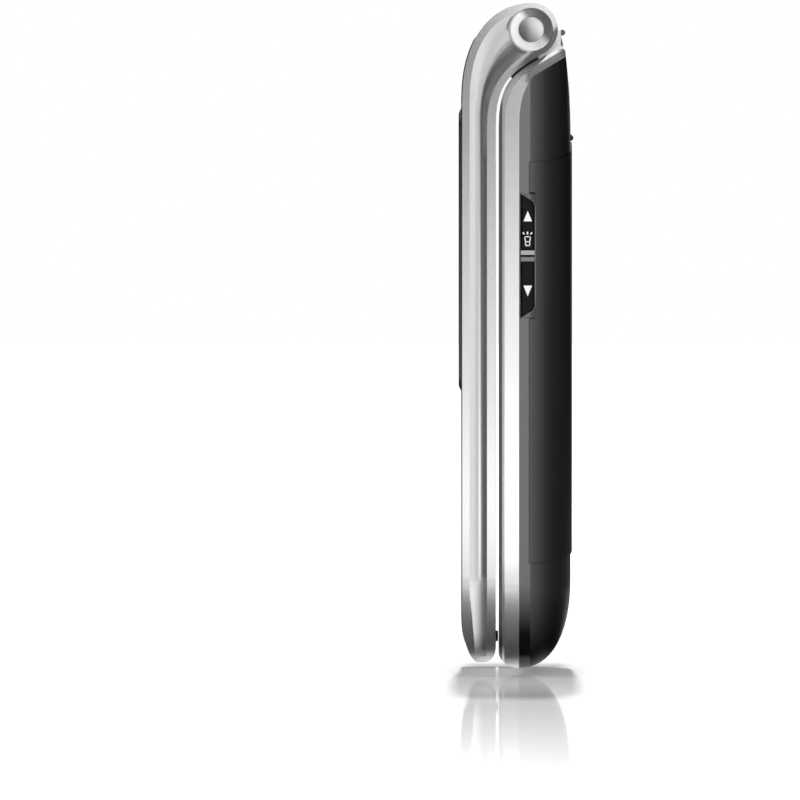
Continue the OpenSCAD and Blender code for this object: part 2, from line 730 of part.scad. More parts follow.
module battery_door() {
    color([0.05, 0.05, 0.05]) difference() {
        intersection() {
            along_y(door_outline(0), door_side_y, door_back);
            linear_extrude(top_z) polygon(base_section(hw, door_back, door_side_y - 0.1));
            across(concat([[-depth, -1]], [for (p = base_toe) p + [door_rise, 0]],
                [[door_back, top_z], [-depth, top_z]]), -hw, hw);
        }
        linear_extrude(top_z) polygon(base_section(hw - door_t, door_back - door_t,
            door_side_y - 0.1));
        // notches round the side keys and the headphone socket
        box_between([hw - 3, 0, side_mid - side_len / 2 - door_gap],
            [hw + 1, side_back + door_gap, side_mid + side_len / 2 + door_gap]);
        rod_x(jack_ring_r + 0.15, -hw - 1, -hw + 3, jack_y, jack_z);
        box_between([-hw - 1, 0, jack_z - jack_ring_r - 0.15],
            [-hw + 3, jack_y, jack_z + jack_ring_r + 0.15]);
    }
}

module battery() {
    color("darkslategray") rounded_block(battery_w, battery_len, 1.2,
        0, (bay_low + bay_high) / 2, battery_face, battery_back);
}

// Three sprung contacts stand on the main board and reach through the bay's floor.
module contact_place(i) {
    translate([i * 3.4, bay_floor - bay_floor_t / 2, bay_high - 5]) children();
}

module battery_contacts() {
    color("gold") for (i = [-1:1]) contact_place(i)
        box_between([-0.8, -(bay_floor - bay_floor_t / 2) + board_back, -1.8],
            [0.8, bay_floor_t / 2, 1.8]);
}

module key_plate() {
    color("black") difference() {
        along_y(plate_outline(0), key_face, plate_back);
        for (r = [0:3], c = [0:2]) key_place(r, c) along_y(
            rounded(key_w + 2 * key_play, key_h + 2 * key_play, key_r + key_play),
            key_face - 1, plate_back + 1);
        for (k = CORNER_KEYS) corner_place(k) along_y(
            rounded(corner_key_w + 2 * key_play, corner_key_h + 2 * key_play,
                key_r + key_play), key_face - 1, plate_back + 1);
        rod_y(nav_r + key_play, key_face - 1, plate_back + 1, 0, nav_z);
    }
}

module key_place(r, c) {
    translate([(c - 1) * (key_w + key_gap), 0, row_low + r * row_pitch]) children();
}

module corner_place(k) {
    translate([k[1] * corner_key_x, 0, nav_z + k[2] * corner_key_dz]) children();
}

// A key: its cap passes through the plate, and a wider flange behind holds it in.
module key_cap(w, h) {
    along_y(rounded(w, h, key_r), key_top, flange_face);
    along_y(rounded(w + 2 * key_play + 0.6, h + 2 * key_play + 0.6, key_r),
        flange_face, flange_face + flange_t);
}

module digit_key(name) {
    color([0.1, 0.1, 0.11]) for (r = [0:3], c = [0:2]) if (DIGITS[r][c] == name)
        key_place(r, c) key_cap(key_w, key_h);
}

module corner_key(name) {
    color([0.15, 0.15, 0.16]) for (k = CORNER_KEYS) if (k[0] == name)
        corner_place(k) key_cap(corner_key_w, corner_key_h);
}

module nav_ring() {
    color("silver") difference() {
        union() {
            rod_y(nav_r, key_top, flange_face, 0, nav_z);
            rod_y(nav_r + key_play + 0.3, flange_face, flange_face + flange_t, 0, nav_z);
        }
        rod_y(ok_r + key_play, key_face - 1, flange_face + 3, 0, nav_z);
    }
}

module ok_key() {
    color("black") rod_y(ok_r, key_top, flange_face + flange_t, 0, nav_z);
}

module key_mat() {
    color("dimgray") rounded_block(2 * plate_hw - 5, plate_high - plate_low - 4, 4,
        0, (plate_high + plate_low) / 2, mat_face, board_face);
}

module main_board() {
    color("green") difference() {
        along_y(front_outline(board_hw, board_low, board_high, corner_r - 4, 1),
            board_face, board_back);
        screw_places() rod_y(post_r + 2 * fit, -depth, depth, 0, 0);
    }
}

module shield_can() {
    left_w = board_hw * 0.78;
    right_w = board_hw * 0.58;
    gap = 1.5;
    can_len = battery_len * 0.35;
    low_z = bay_low + can_len / 2 + 4;
    color("lightgray") {
        rounded_block(left_w, can_len, 0.6, -left_w / 2 + gap, low_z, board_back,
            board_back + can_t);
        rounded_block(right_w, can_len, 0.6, right_w / 2 + 2 * gap, low_z, board_back,
            board_back + can_t);
        rounded_block(left_w + right_w, can_len * 0.7, 0.6, 0, low_z + can_len + 4,
            board_back, board_back + can_t);
    }
}

module card_holder() {
    card_len = 12;           // a small subscriber card, with its frame
    color("lightgray") rounded_block(2 * card_len, card_len, 0.6, 0,
        bay_low - card_len / 2 - 1.5, board_back, board_back + can_t);
}

camera_z = hinge_z - 12.2;
camera_r = 3.2;
camera_hw = camera_r + 0.4;
speaker_w = rear_room_hw - camera_hw - 1.9;
speaker_h = 10;
speaker_x = -(camera_hw + 1 + speaker_w / 2);
module loudspeaker() {
    color("gray") rounded_block(speaker_w, speaker_h, 3, speaker_x, camera_z - 1,
        rear_room_back - 3.2, rear_room_back - fit);
}

module camera_module() {
    color("black") {
        box_between([-camera_hw, rear_room_back - 4.2, camera_z - camera_hw],
            [camera_hw, rear_room_back - fit, camera_z + camera_hw]);
        rod_y(camera_r - 1, rear_room_back - 0.1, base_back - 0.5, 0, camera_z);
    }
}

module camera_ring() {
    color("silver") difference() {
        rod_y(camera_r, rear_room_back, base_back - 0.1, 0, camera_z);
        rod_y(camera_r - 0.8, rear_room_back - 1, base_back + 1, 0, camera_z);
    }
}

lamp_r = 1.5;
lamp_x = camera_hw + 4.4 + lamp_r;
module torch_lamp() {
    color("white") {
        rod_y(lamp_r, rear_room_back - 0.8, base_back - 0.15, lamp_x, camera_z);
        rod_y(lamp_r + 0.8, rear_room_back - 1.6, rear_room_back - 0.8, lamp_x, camera_z);
    }
}

module microphone() {
    color("gold") box_between([8, board_face - 0.75, board_low + 0.4],
        [11.5, board_face, board_low + 2.2]);
}

motor_r = 4;
motor_t = 2.6;
module vibration_motor() {
    color("lightgray") rod_y(motor_r, board_back, board_back + motor_t,
        rear_room_hw - motor_r - 1, bay_high + motor_r + 2);
}

module headphone_socket() {
    color([0.1, 0.1, 0.1]) difference() {
        union() {
            box_between([-hw + jack_inset, jack_y - 2.4, jack_z - 2.7],
                [-hw + jack_depth + 1, jack_y + 2.2, jack_z + 2.7]);
            rod_x(jack_ring_r - 0.1, -hw + 0.4, -hw + jack_inset + 0.1, jack_y, jack_z);
        }
        rod_x(jack_r, -hw - 1, -hw + jack_depth, jack_y, jack_z);
    }
}

module socket_ring() {
    color("gray") difference() {
        rod_x(jack_ring_r, -hw - 0.05, -hw + 0.4, jack_y, jack_z);
        rod_x(jack_r, -hw - 1, -hw + 1, jack_y, jack_z);
    }
}

// Charging socket in the middle of the lower edge
usb_w = 7.6;
usb_t = 1.9;
usb_low = 1;
module usb_socket() {
    color("lightgray") difference() {
        box_between([-usb_w / 2, board_back, usb_low + 0.5],
            [usb_w / 2, board_back + usb_t, usb_low + 6]);
        box_between([-usb_w / 2 + 0.35, board_back + 0.35, 0],
            [usb_w / 2 - 0.35, board_back + usb_t - 0.35, usb_low + 5.2]);
    }
}

module usb_mouth() {
    box_between([-usb_w / 2 - fit, board_back - fit, -1],
        [usb_w / 2 + fit, board_back + usb_t + fit, cavity_low + 3]);
}

module hinge_barrel() {
    color("gray") difference() {
        rod_x(spring_unit_r, unit_inner + 0.1, knuckle_hw, hinge_y, hinge_z);
        rod_x(spring_unit_r - 0.6, unit_inner + 0.7, knuckle_hw - 4.6, hinge_y, hinge_z);
        rod_x(shaft_r + running, unit_inner + 1, knuckle_hw + 1, hinge_y, hinge_z);
    }
}

// A coil spring inside the barrel, skinned round its helix
spring_turns = 6;
wire_r = 0.28;
coil_r = spring_unit_r - 0.6 - wire_r - 0.1;
spring_x0 = unit_inner + 0.7 + wire_r + 0.02;
spring_x1 = knuckle_hw - 4.6 - wire_r - 0.02;
module hinge_spring() {
    steps = 12;
    color("lightgray") skin([for (i = [0:spring_turns * steps])
        let (a = 360 * i / steps,
            x = spring_x0 + (spring_x1 - spring_x0) * i / (spring_turns * steps))
        [for (j = [0:5]) let (b = 60 * j, r = coil_r + wire_r * cos(b))
            [x + wire_r * sin(b), hinge_y + r * cos(a), hinge_z + r * sin(a)]]]);
}

stud_x = 17.5;
stud_z = hinge_z - 18.4;
module rest_studs() {
    color([0.05, 0.05, 0.05]) both_sides() {
        rod_y(stud_r - 0.1 - fit, rear_room_back + 0.45, base_back, stud_x, stud_z);
        intersection() {
            translate([stud_x, door_back - stud_r / 2, stud_z]) sphere(stud_r, $fn = 48);
            rod_y(1, base_back, depth, stud_x, stud_z);
        }
    }
}

module shell_screws() {
    color("gray") screw_places() {
        rod_y(head_r, head_back - 1, head_back, 0, 0);
        rod_y(screw_r, front_wall_back + 0.3, head_back - 0.9, 0, 0);
    }
}

// ---- Side keys ----

// Outline of the frame as [y, z] points: straight along the seam, slanted behind
function side_outline(g) = let (half = side_len / 2 + g) [
    [side_front - g, side_mid - half],
    [side_back - 0.35, side_mid - half + 1.2],
    [side_back + g, side_mid - half + 1.9],
    [side_back + g, side_mid + half - 1.9],
    [side_back - 0.35, side_mid + half - 1.2],
    [side_front - g, side_mid + half]];

module side_key_frame() {
    color("black") difference() {
        union() {
            across(side_outline(0), hw - wall - 0.5, side_face);
            // corners that fill the door's square notch, flush with the door
            box_between([hw - wall - 0.5, side_front, side_mid - side_len / 2],
                [hw - 0.1, side_back, side_mid + side_len / 2]);
        }
        both_sides_of_bars() across(side_key_outline(0.08), hw - wall - 1, side_face + 1);
    }
}

module both_sides_of_bars() {
    children();
    translate([0, 0, 2 * side_mid]) mirror([0, 0, 1]) children();
}

// Outline of the upper side key, grown by g
function side_key_outline(g) = let (high = side_mid + side_len / 2 - side_rim) [
    [side_front + side_rim - g, side_mid + side_slot / 2 - g],
    [side_back - side_rim + g, side_mid + side_slot / 2 - g],
    [side_back - side_rim + g, high - 1.7 + g],
    [side_back - side_rim - 0.3, high - 1.1 + g],
    [side_front + side_rim - g, high + 0.1 + g]];

module side_key(up) {
    color([0.1, 0.1, 0.1]) mirror_if(!up) {
        across(side_key_outline(0), hw - wall - 1, side_face + 0.12);
        across([[side_front + 0.05, side_mid + side_slot / 2 + 0.3],
            [side_back - 0.1, side_mid + side_slot / 2 + 0.3],
            [side_back - 0.1, side_mid + side_len / 2 - 2.3],
            [side_front + 0.05, side_mid + side_len / 2 - 2.3]],
            side_foot_x, hw - wall - 0.9);
    }
}

module mirror_if(flip) {
    if (flip) translate([0, 0, 2 * side_mid]) mirror([0, 0, 1]) children();
    else children();
}

module side_key_bars() {
    color("silver") both_sides_of_bars() across([
        [side_front + 0.05, side_mid + bar_gap / 2],
        [side_back - 0.05, side_mid + bar_gap / 2],
        [side_back - 0.05, side_mid + bar_gap / 2 + bar_h],
        [side_front + 0.05, side_mid + bar_gap / 2 + bar_h]], side_face, side_face + 0.1);
}

lid_shell();
lid_front_panel();
outer_window();
outer_display();
lid_inner_frame();
main_window();
main_display();
lid_board();
earpiece();
lid_bumpers();
hinge_rings();
hinge_caps();
hinge_follower();
hinge_pin();
front_shell();
back_shell();
key_plate();
key_mat();
main_board();
shield_can();
battery();
battery_contacts();
card_holder();
loudspeaker();
camera_module();
camera_ring();
torch_lamp();
microphone();
vibration_motor();
headphone_socket();
socket_ring();
usb_socket();
hinge_barrel();
hinge_spring();
rest_studs();
shell_screws();
side_key_frame();
side_key_bars();
battery_door();
digit_key("key_1");  // key_1
digit_key("key_2");  // key_2
digit_key("key_3");  // key_3
digit_key("key_4");  // key_4
digit_key("key_5");  // key_5
digit_key("key_6");  // key_6
digit_key("key_7");  // key_7
digit_key("key_8");  // key_8
digit_key("key_9");  // key_9
digit_key("key_star");  // key_star
digit_key("key_0");  // key_0
digit_key("key_hash");  // key_hash
corner_key("soft_key_left");  // soft_key_left
corner_key("soft_key_right");  // soft_key_right
corner_key("call_key");  // call_key
corner_key("end_key");  // end_key
nav_ring();
ok_key();
side_key(true);  // side_key_up
side_key(false);  // side_key_down
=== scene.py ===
# %% [markdown]
# # A silver and black flip phone
# A closed clamshell phone stands on end: silver lid at the front, black gloss back, and two
# hinge barrels at the top. Its solids come ready made in one frame, in metres, with +Z up the
# phone, the lid's face towards -Y and the side keys towards +X. This script gives every piece
# its finish, adds the small signs and fittings, and sets up the studio round it.

# %% Load the phone
import math

import bmesh
import bpy
from mathutils import Matrix, Vector


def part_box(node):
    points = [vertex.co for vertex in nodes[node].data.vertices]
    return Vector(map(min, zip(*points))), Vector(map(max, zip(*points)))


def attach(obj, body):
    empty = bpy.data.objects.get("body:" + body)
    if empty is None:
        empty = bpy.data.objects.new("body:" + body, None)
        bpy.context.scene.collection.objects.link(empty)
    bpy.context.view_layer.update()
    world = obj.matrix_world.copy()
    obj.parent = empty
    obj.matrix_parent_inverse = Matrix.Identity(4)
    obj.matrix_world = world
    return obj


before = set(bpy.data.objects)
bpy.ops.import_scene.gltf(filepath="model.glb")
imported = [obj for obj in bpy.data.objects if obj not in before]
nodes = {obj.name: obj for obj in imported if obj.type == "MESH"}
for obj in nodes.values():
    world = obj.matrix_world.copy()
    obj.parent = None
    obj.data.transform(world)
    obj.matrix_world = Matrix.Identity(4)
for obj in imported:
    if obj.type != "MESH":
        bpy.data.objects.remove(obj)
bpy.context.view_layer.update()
MM = 0.001

# %% [markdown]
# ## The camera
# The phone is seen square from its right side, as in a catalogue elevation. A very long lens
# from far away keeps the outline flat: the near side is drawn only a fiftieth larger than the
# far side. The camera stands nearly as high as the hinge, so it looks straight through the
# narrow gap under the lid and a little down on the table, and it turns slightly to the side,
# which sets the phone right of the middle of the frame.

# %% Camera
frame_width = 0.1354       # what the frame takes in at the phone's near side
near_side = 0.028
camera_distance = 2.6      # from that side
camera_aside = -0.002
camera_height = 0.104
frame_middle = Vector((near_side, -0.01965, 0.0460))
lens_data = bpy.data.cameras.new("elevation")
lens_data.sensor_width = 36
lens_data.lens = lens_data.sensor_width * camera_distance / frame_width
lens_data.clip_end = 50
camera = bpy.data.objects.new("elevation", lens_data)
camera.location = (near_side + camera_distance, camera_aside, camera_height)
camera.rotation_euler = (frame_middle - camera.location).to_track_quat("-Z", "Y").to_euler()
bpy.context.scene.collection.objects.link(camera)
bpy.context.scene.camera = camera
bpy.context.scene.view_settings.view_transform = "Standard"
print("lens in mm:", round(lens_data.lens))

# %% [markdown]
# ## Nodes and sums
# A finish is a graph of nodes that ends in one surface shader. These helpers keep the graphs
# short to read. One adds a node and fills in its sockets, whether with a number or with
# another node's result, and the others do sums. A share is a number from 0 to 1 that says how
# much of something shows at a point, so a product of shares is 1 only where all of them are.

# %% Nodes and sums
def add(graph, kind, **values):
    node = graph.nodes.new(kind)
    for key, value in values.items():
        if key not in node.inputs:
            setattr(node, key, value)
        elif isinstance(value, bpy.types.NodeSocket):
            graph.links.new(value, node.inputs[key])
        else:
            node.inputs[key].default_value = value
    return node


def fill(graph, sockets, values):
    for socket, value in zip(sockets, values):
        if isinstance(value, bpy.types.NodeSocket):
            graph.links.new(value, socket)
        else:
            socket.default_value = value


def calc(graph, operation, a, b=0.0):
    node = add(graph, "ShaderNodeMath", operation=operation)
    fill(graph, node.inputs, (a, b))
    return node.outputs[0]


def times(graph, *factors):
    product = factors[0]
    for factor in factors[1:]:
        product = calc(graph, "MULTIPLY", product, factor)
    return product


def fade(graph, share, start, end):
    # the number start where share is 0, and end where it is 1
    return calc(graph, "ADD", start, times(graph, share, calc(graph, "SUBTRACT", end, start)))


def vector_calc(graph, operation, *vectors):
    node = add(graph, "ShaderNodeVectorMath", operation=operation)
    fill(graph, node.inputs, vectors)
    is_number = operation in ("LENGTH", "DISTANCE", "DOT_PRODUCT")
    return node.outputs["Value" if is_number else "Vector"]


def remap(graph, value, start, end, to_start=0.0, to_end=1.0, **settings):
    # carries start to end over to to_start to to_end, and holds still beyond them
    node = add(graph, "ShaderNodeMapRange", Value=value, **settings)
    for socket, number in (("From Min", start), ("From Max", end),
                           ("To Min", to_start), ("To Max", to_end)):
        node.inputs[socket].default_value = number
    return node.outputs[0]


def between(graph, value, start, end):
    # a share that is 0 at start, 1 at end, and smooth between them
    return remap(graph, value, start, end, interpolation_type="SMOOTHSTEP")

# %% [markdown]
# ## Places and colours
# Patterns read Object coordinates, which here are metres on the phone itself, so a tone can be
# tied to a measured place and stays there when a joint moves. A colour ramp then gives the
# tone at each place, and mixes lay one tone over another.

# %% Places and colours
def place(graph, stretch=None):
    where = graph.nodes.new("ShaderNodeTexCoord").outputs["Object"]
    if stretch:
        where = add(graph, "ShaderNodeMapping", Vector=where, Scale=stretch).outputs[0]
    return where


def position(graph):
    # the place as its three outputs X, Y and Z
    return add(graph, "ShaderNodeSeparateXYZ", Vector=place(graph)).outputs


def ramp(graph, value, stops):
    # stops are pairs of a position from 0 to 1 and a level or a colour
    node = graph.nodes.new("ShaderNodeValToRGB")
    graph.links.new(value, node.inputs[0])
    points = node.color_ramp.elements
    while len(points) < len(stops):
        points.new(0.5)
    for point, (at, level) in zip(points, stops):
        point.position = at
        point.color = (level, level, level, 1) if isinstance(level, (int, float)) else (*level, 1)
    return node.outputs["Color"]


def by_place(graph, value, low, high, stops):
    # the same with stops at measured places between low and high
    return ramp(graph, remap(graph, value, low, high),
                [((at - low) / (high - low), level) for at, level in stops])


def mix(graph, share, first, second, blend_type="MIX"):
    node = add(graph, "ShaderNodeMix", data_type="RGBA", blend_type=blend_type, Factor=share)
    colours = [(*colour, 1) if isinstance(colour, tuple) else colour for colour in (first, second)]
    fill(graph, (node.inputs[6], node.inputs[7]), colours)
    return node.outputs[2]

# %% [markdown]
# ## Materials
# Most materials start from the Principled shader, with the numbers that are the same all over
# a piece set on its own sockets. The table and the cards start from an empty graph instead,
# because they show different surfaces to different rays. Every moulded or plated edge is a
# little round, so the normal rolls over it, and no gloss is quite even, so a noise moves it.

# %% Materials
def finish(name, colour, metallic=0.0, roughness=0.4, **sockets):
    material = bpy.data.materials.new(name)
    material.use_nodes = True
    graph = material.node_tree
    shader = graph.nodes["Principled BSDF"]
    shader.inputs["Base Color"].default_value = (*colour, 1)
    shader.inputs["Metallic"].default_value = metallic
    shader.inputs["Roughness"].default_value = roughness
    for socket, value in sockets.items():
        shader.inputs[socket.replace("_", " ")].default_value = value
    return material, graph, shader


def soft_edges(graph, shader, radius):
    round_over = add(graph, "ShaderNodeBevel", samples=6, Radius=radius).outputs[0]
    graph.links.new(round_over, shader.inputs["Normal"])
    return round_over


def uneven_gloss(graph, shader, scale, detail, roughness, spread):
    noise = add(graph, "ShaderNodeTexNoise", Vector=place(graph), Scale=scale, Detail=detail)
    graph.links.new(remap(graph, noise.outputs["Fac"], 0, 1, roughness - spread,
                          roughness + spread), shader.inputs["Roughness"])


def bare_material(name):
    material = bpy.data.materials.new(name)
    material.use_nodes = True
    material.node_tree.nodes.clear()
    return material, material.node_tree


def choose(graph, share, first, second):
    # the first surface where share is 0, and the second where it is 1
    node = graph.nodes.new("ShaderNodeMixShader")
    fill(graph, node.inputs, (share, first.outputs[0], second.outputs[0]))
    return node


def show(graph, surface):
    out = graph.nodes.new("ShaderNodeOutputMaterial")
    graph.links.new(surface.outputs[0], out.inputs["Surface"])

# %% [markdown]
# ## The table's surface
# The phone stands on a white table under a thin sheet of clear acrylic. The sheet itself can't
# be seen, but the mirror image forms at its lower face, so it starts a hair below the phone.
# It is strongest a little way off and dies away towards the camera, as on a satin surface. The
# table is lit like anything else, so the phone throws a soft shadow on it. A painted shade
# darkens a strip right behind it, a painted light beside the phone keeps that shadow from
# spreading at its sides, and far from the phone it glows white.

# %% The table's surface
foot_half = (0.013, 0.004, 0)      # half the strip that the phone stands on
painted_shade_depth = 0.46


def ground_distance(graph):
    # distance on the table from the strip that the phone stands on
    apart = vector_calc(graph, "ABSOLUTE", place(graph))
    beyond = vector_calc(graph, "SUBTRACT", apart, foot_half)
    kept = vector_calc(graph, "MAXIMUM", beyond, (0, 0, 0))
    flat = vector_calc(graph, "MULTIPLY", kept, (1, 1, 0))
    return vector_calc(graph, "LENGTH", flat)


table_finish, g = bare_material("white_table")
away = ground_distance(g)
spot = position(g)
aside = calc(g, "ABSOLUTE", spot["Y"])
# painted shade: it begins softly behind the phone, and doesn't spread at its sides
shade = times(g, between(g, spot["X"], -0.046, -0.021), between(g, spot["X"], -0.016, -0.020),
              between(g, aside, 0.0105, 0.0065))
# the table's paper colour, darkened by the painted shade
paper = calc(g, "SUBTRACT", 0.88, times(g, shade, painted_shade_depth))
lit = add(g, "ShaderNodeBsdfDiffuse", Color=paper)
far_glow = ramp(g, away, [(0.0, 0.04), (0.1, 0.08), (0.3, 0.35), (0.5, 0.6), (1.0, 1.0)])
# painted light beside the phone, which keeps the shadow from spreading at its sides
painted_side_light = times(g, between(g, aside, 0.0095, 0.014), between(g, away, 0.25, 0.06), 0.13)
glow = add(g, "ShaderNodeEmission", Color=(1, 1, 1, 1),
           Strength=calc(g, "ADD", far_glow, painted_side_light))
lit_and_glow = g.nodes.new("ShaderNodeAddShader")
fill(g, lit_and_glow.inputs, (lit.outputs[0], glow.outputs[0]))
mirror = add(g, "ShaderNodeBsdfGlossy", Color=(1, 1, 1, 1), Roughness=0.03)
mirror_share = ramp(g, away, [(0.0, 0.10), (0.04, 0.14), (0.09, 0.40), (0.13, 0.42),
                              (0.30, 0.25), (0.51, 0.05), (0.62, 0.0)])
seen = choose(g, mirror_share, lit_and_glow, mirror)
print("shade behind the phone takes off:", painted_shade_depth)

# %% [markdown]
# ## What polished pieces see of the table
# A polished piece mirrors the table, and close to the phone a real table lies in the phone's
# own shade. So glossy rays see a painted reflection instead: a painted shadow, dark in a narrow
# ring round the phone, then lighter and lighter, with painted light on the phone's back side,
# painted shade on its front side, and painted dark again far behind it, which keeps the black's
# rear edge deep.

# %% What polished pieces see of the table
# painted reflection: a painted shadow ring round the phone, lighter further out
ring = by_place(g, away, 0.0, 0.2,
                [(0.0, 0.85), (0.002, 0.7), (0.006, 0.07), (0.009, 0.03), (0.014, 0.07),
                 (0.02, 0.13), (0.026, 0.2), (0.044, 0.44), (0.06, 0.66), (0.09, 0.9),
                 (0.128, 1.0), (0.2, 1.0)])
painted_light_side = times(g, between(g, spot["Y"], 0.002, 0.008),
                   between(g, calc(g, "ABSOLUTE", spot["X"]), 0.030, 0.036))
painted_dark_side = times(g, between(g, spot["Y"], -0.014, -0.022), between(g, away, 0.009, 0.016))
painted_dark_far_behind = between(g, spot["X"], -0.2, -0.5)
ring = fade(g, painted_light_side, ring, 0.95)
ring = fade(g, painted_dark_side, ring, 0.12)
ring = times(g, ring, fade(g, painted_dark_far_behind, 1.0, 0.04))
painted_table_reflection = add(g, "ShaderNodeEmission", Color=ring, Strength=1.0)
rays = g.nodes.new("ShaderNodeLightPath").outputs
show(g, choose(g, rays["Is Glossy Ray"], seen, painted_table_reflection))
print("nodes in the table's finish:", len(g.nodes))

# %% [markdown]
# ## The table itself
# A single round face is enough, wide enough that its edge is never seen. It lies below the
# phone by the thickness of the clear sheet.

# %% Table
sheet_depth = 1.1 * MM
table_radius = 3.0
shape = bmesh.new()
bmesh.ops.create_circle(shape, cap_ends=True, segments=96, radius=table_radius)
bmesh.ops.translate(shape, verts=shape.verts, vec=(0, 0, -sheet_depth))
table_mesh = bpy.data.meshes.new("table")
shape.to_mesh(table_mesh)
shape.free()
table = bpy.data.objects.new("table", table_mesh)
table_mesh.materials.append(table_finish)
bpy.context.scene.collection.objects.link(table)
print("table lies under the phone by mm:", sheet_depth / MM)

# %% [markdown]
# ## White surroundings
# The room is white to the eye. In reflections it is a studio: bright behind the phone and
# overhead, dim in front of the lid and dark obliquely behind either side, which gives the
# polished pieces a light and a dark side and keeps the black's rear edge deep. As plain light
# it is a soft fill.

# %% White surroundings
soft_light = 0.27
world = bpy.data.worlds.new("white_room")
bpy.context.scene.world = world
world.use_nodes = True
g = world.node_tree
sky = g.nodes["Background"]
sky.inputs["Color"].default_value = (1, 1, 1, 1)
rays = g.nodes.new("ShaderNodeLightPath").outputs
every_way = g.nodes.new("ShaderNodeTexCoord").outputs["Generated"]
towards = add(g, "ShaderNodeSeparateXYZ", Vector=every_way).outputs
level = by_place(g, towards["Y"], -1.0, 1.0,
                 [(-1.0, 0.12), (-0.4, 0.12), (-0.08, 0.8), (0.0, 1.0), (1.0, 1.0)])
oblique = times(g, between(g, towards["Y"], 0.2, 0.45),
                between(g, calc(g, "ABSOLUTE", towards["X"]), 0.2, 0.5))
overhead = remap(g, towards["Z"], 0.75, 0.95)
studio = fade(g, overhead, times(g, level, fade(g, oblique, 1.0, 0.05)), 1.0)
mirror_ray = calc(g, "MAXIMUM", rays["Is Glossy Ray"], rays["Is Transmission Ray"])
plain = fade(g, rays["Is Camera Ray"], soft_light, 1.0)
g.links.new(fade(g, mirror_ray, plain, studio), sky.inputs["Strength"])
print("fill level:", soft_light)

# %% [markdown]
# ## The cards' light
# A smooth shiny object is lit by what it reflects, so a studio stands cards round it. Each
# side of the phone faces a card that is bright below and dimmer above, which gives the flat
# silver bands their long fade. A dark wing towards the front draws the shadow line in the
# coved side, and a half-dark wing towards the back lets the black shell turn to deep black.
# Past the phone's back the card is white at every height, and a small soft spot lights the
# hinge. A card is seen only in reflections, only from its own side of the phone and from
# nearby, and not in the table, so it never shows as a card.

# %% The cards' light
levels_across = [(-0.16, 0.08), (-0.06, 0.12), (-0.034, 0.42), (-0.016, 0.9), (-0.008, 1.0),
                 (0.02, 0.95), (0.045, 0.68), (0.09, 0.7), (0.15, 0.97), (0.32, 1.0)]
levels_up = [(0.0, 0.8), (0.010, 0.9), (0.0135, 1.1), (0.018, 1.6), (0.031, 1.5), (0.038, 1.3),
             (0.046, 1.1), (0.06, 0.97), (0.09, 0.46), (0.104, 0.2), (0.118, 0.16),
             (0.16, 0.5), (0.21, 1.0), (0.4, 1.0)]
even_from, even_at = 0.008, 0.038      # from here on the card is white at every height
glint_at = (0.006, 0.1145)
glint_strength = 2.4
changeover = 0.019                     # each side of the middle, from one card to the other
card_reach = 0.3


def card_paper(name, x):
    paper, g = bare_material(name)
    spot = position(g)

    def level(value, levels):
        # the ramp holds half of each level, because some of them are above 1
        halves = [(at, amount / 2) for at, amount in levels]
        return times(g, by_place(g, value, levels[0][0], levels[-1][0], halves), 2.0)

    up = fade(g, remap(g, spot["Y"], even_from, even_at), level(spot["Z"], levels_up), 1.0)
    glint = by_place(g, vector_calc(g, "DISTANCE", place(g), (x, *glint_at)), 0.0, 0.02,
                     [(0.0, 1.0), (0.005, 0.8), (0.011, 0.0)])
    brightness = calc(g, "MAXIMUM", times(g, level(spot["Y"], levels_across), up),
                      times(g, glint, glint_strength))
    light = add(g, "ShaderNodeEmission", Strength=brightness)
    # where the ray that meets the card came from
    run = g.nodes.new("ShaderNodeLightPath").outputs["Ray Length"]
    surface = g.nodes.new("ShaderNodeNewGeometry").outputs
    back_along = add(g, "ShaderNodeSeparateXYZ", Vector=surface["Incoming"]).outputs
    start_x = calc(g, "ADD", x, times(g, back_along["X"], run))
    start_z = calc(g, "ADD", spot["Z"], times(g, back_along["Z"], run))
    other_side = between(g, times(g, start_x, math.copysign(1.0, x)), changeover, -changeover)
    hidden = surface["Backfacing"]
    for reason in (calc(g, "GREATER_THAN", run, card_reach), other_side,
                   calc(g, "LESS_THAN", start_z, -0.2 * MM)):
        hidden = calc(g, "MAXIMUM", hidden, reason)
    show(g, choose(g, hidden, light, g.nodes.new("ShaderNodeBsdfTransparent")))
    return paper


print("card levels from", min(a for at, a in levels_up), "to", max(a for at, a in levels_up))

# %% [markdown]
# ## The cards
# Each card is one upright face beside the phone that reaches down to the phone's foot.

# %% Reflection cards
card_x = 0.14


def card(name, x):
    y_low, y_high = levels_across[0][0], levels_across[-1][0]
    z_low, z_high = levels_up[0][0], levels_up[-1][0]
    shape = bmesh.new()
    bmesh.ops.create_grid(shape, x_segments=1, y_segments=1, size=0.5)
    bmesh.ops.transform(shape, verts=shape.verts, matrix=(
        Matrix.Translation((x, (y_low + y_high) / 2, (z_low + z_high) / 2))
        @ Matrix.Rotation(math.radians(-90 if x > 0 else 90), 4, "Y")
        @ Matrix.Diagonal((z_high - z_low, y_high - y_low, 1, 1))))
    mesh = bpy.data.meshes.new(name)
    shape.to_mesh(mesh)
    shape.free()
    mesh.materials.append(card_paper(name, x))
    piece = bpy.data.objects.new(name, mesh)
    for ray in ("camera", "diffuse", "transmission", "volume_scatter", "shadow"):
        setattr(piece, f"visible_{ray}", False)
    bpy.context.scene.collection.objects.link(piece)


card("right_card", card_x)
card("left_card", -card_x)
print("cards stand beside the phone at mm:", card_x / MM)

# %% [markdown]
# ## Lamps
# Soft lamps give the plain light and the shadow. The key lamp stands high behind the phone and
# is narrow and long, which keeps the shadow's sides sharper than its end. None of the lamps
# is seen in a reflection.

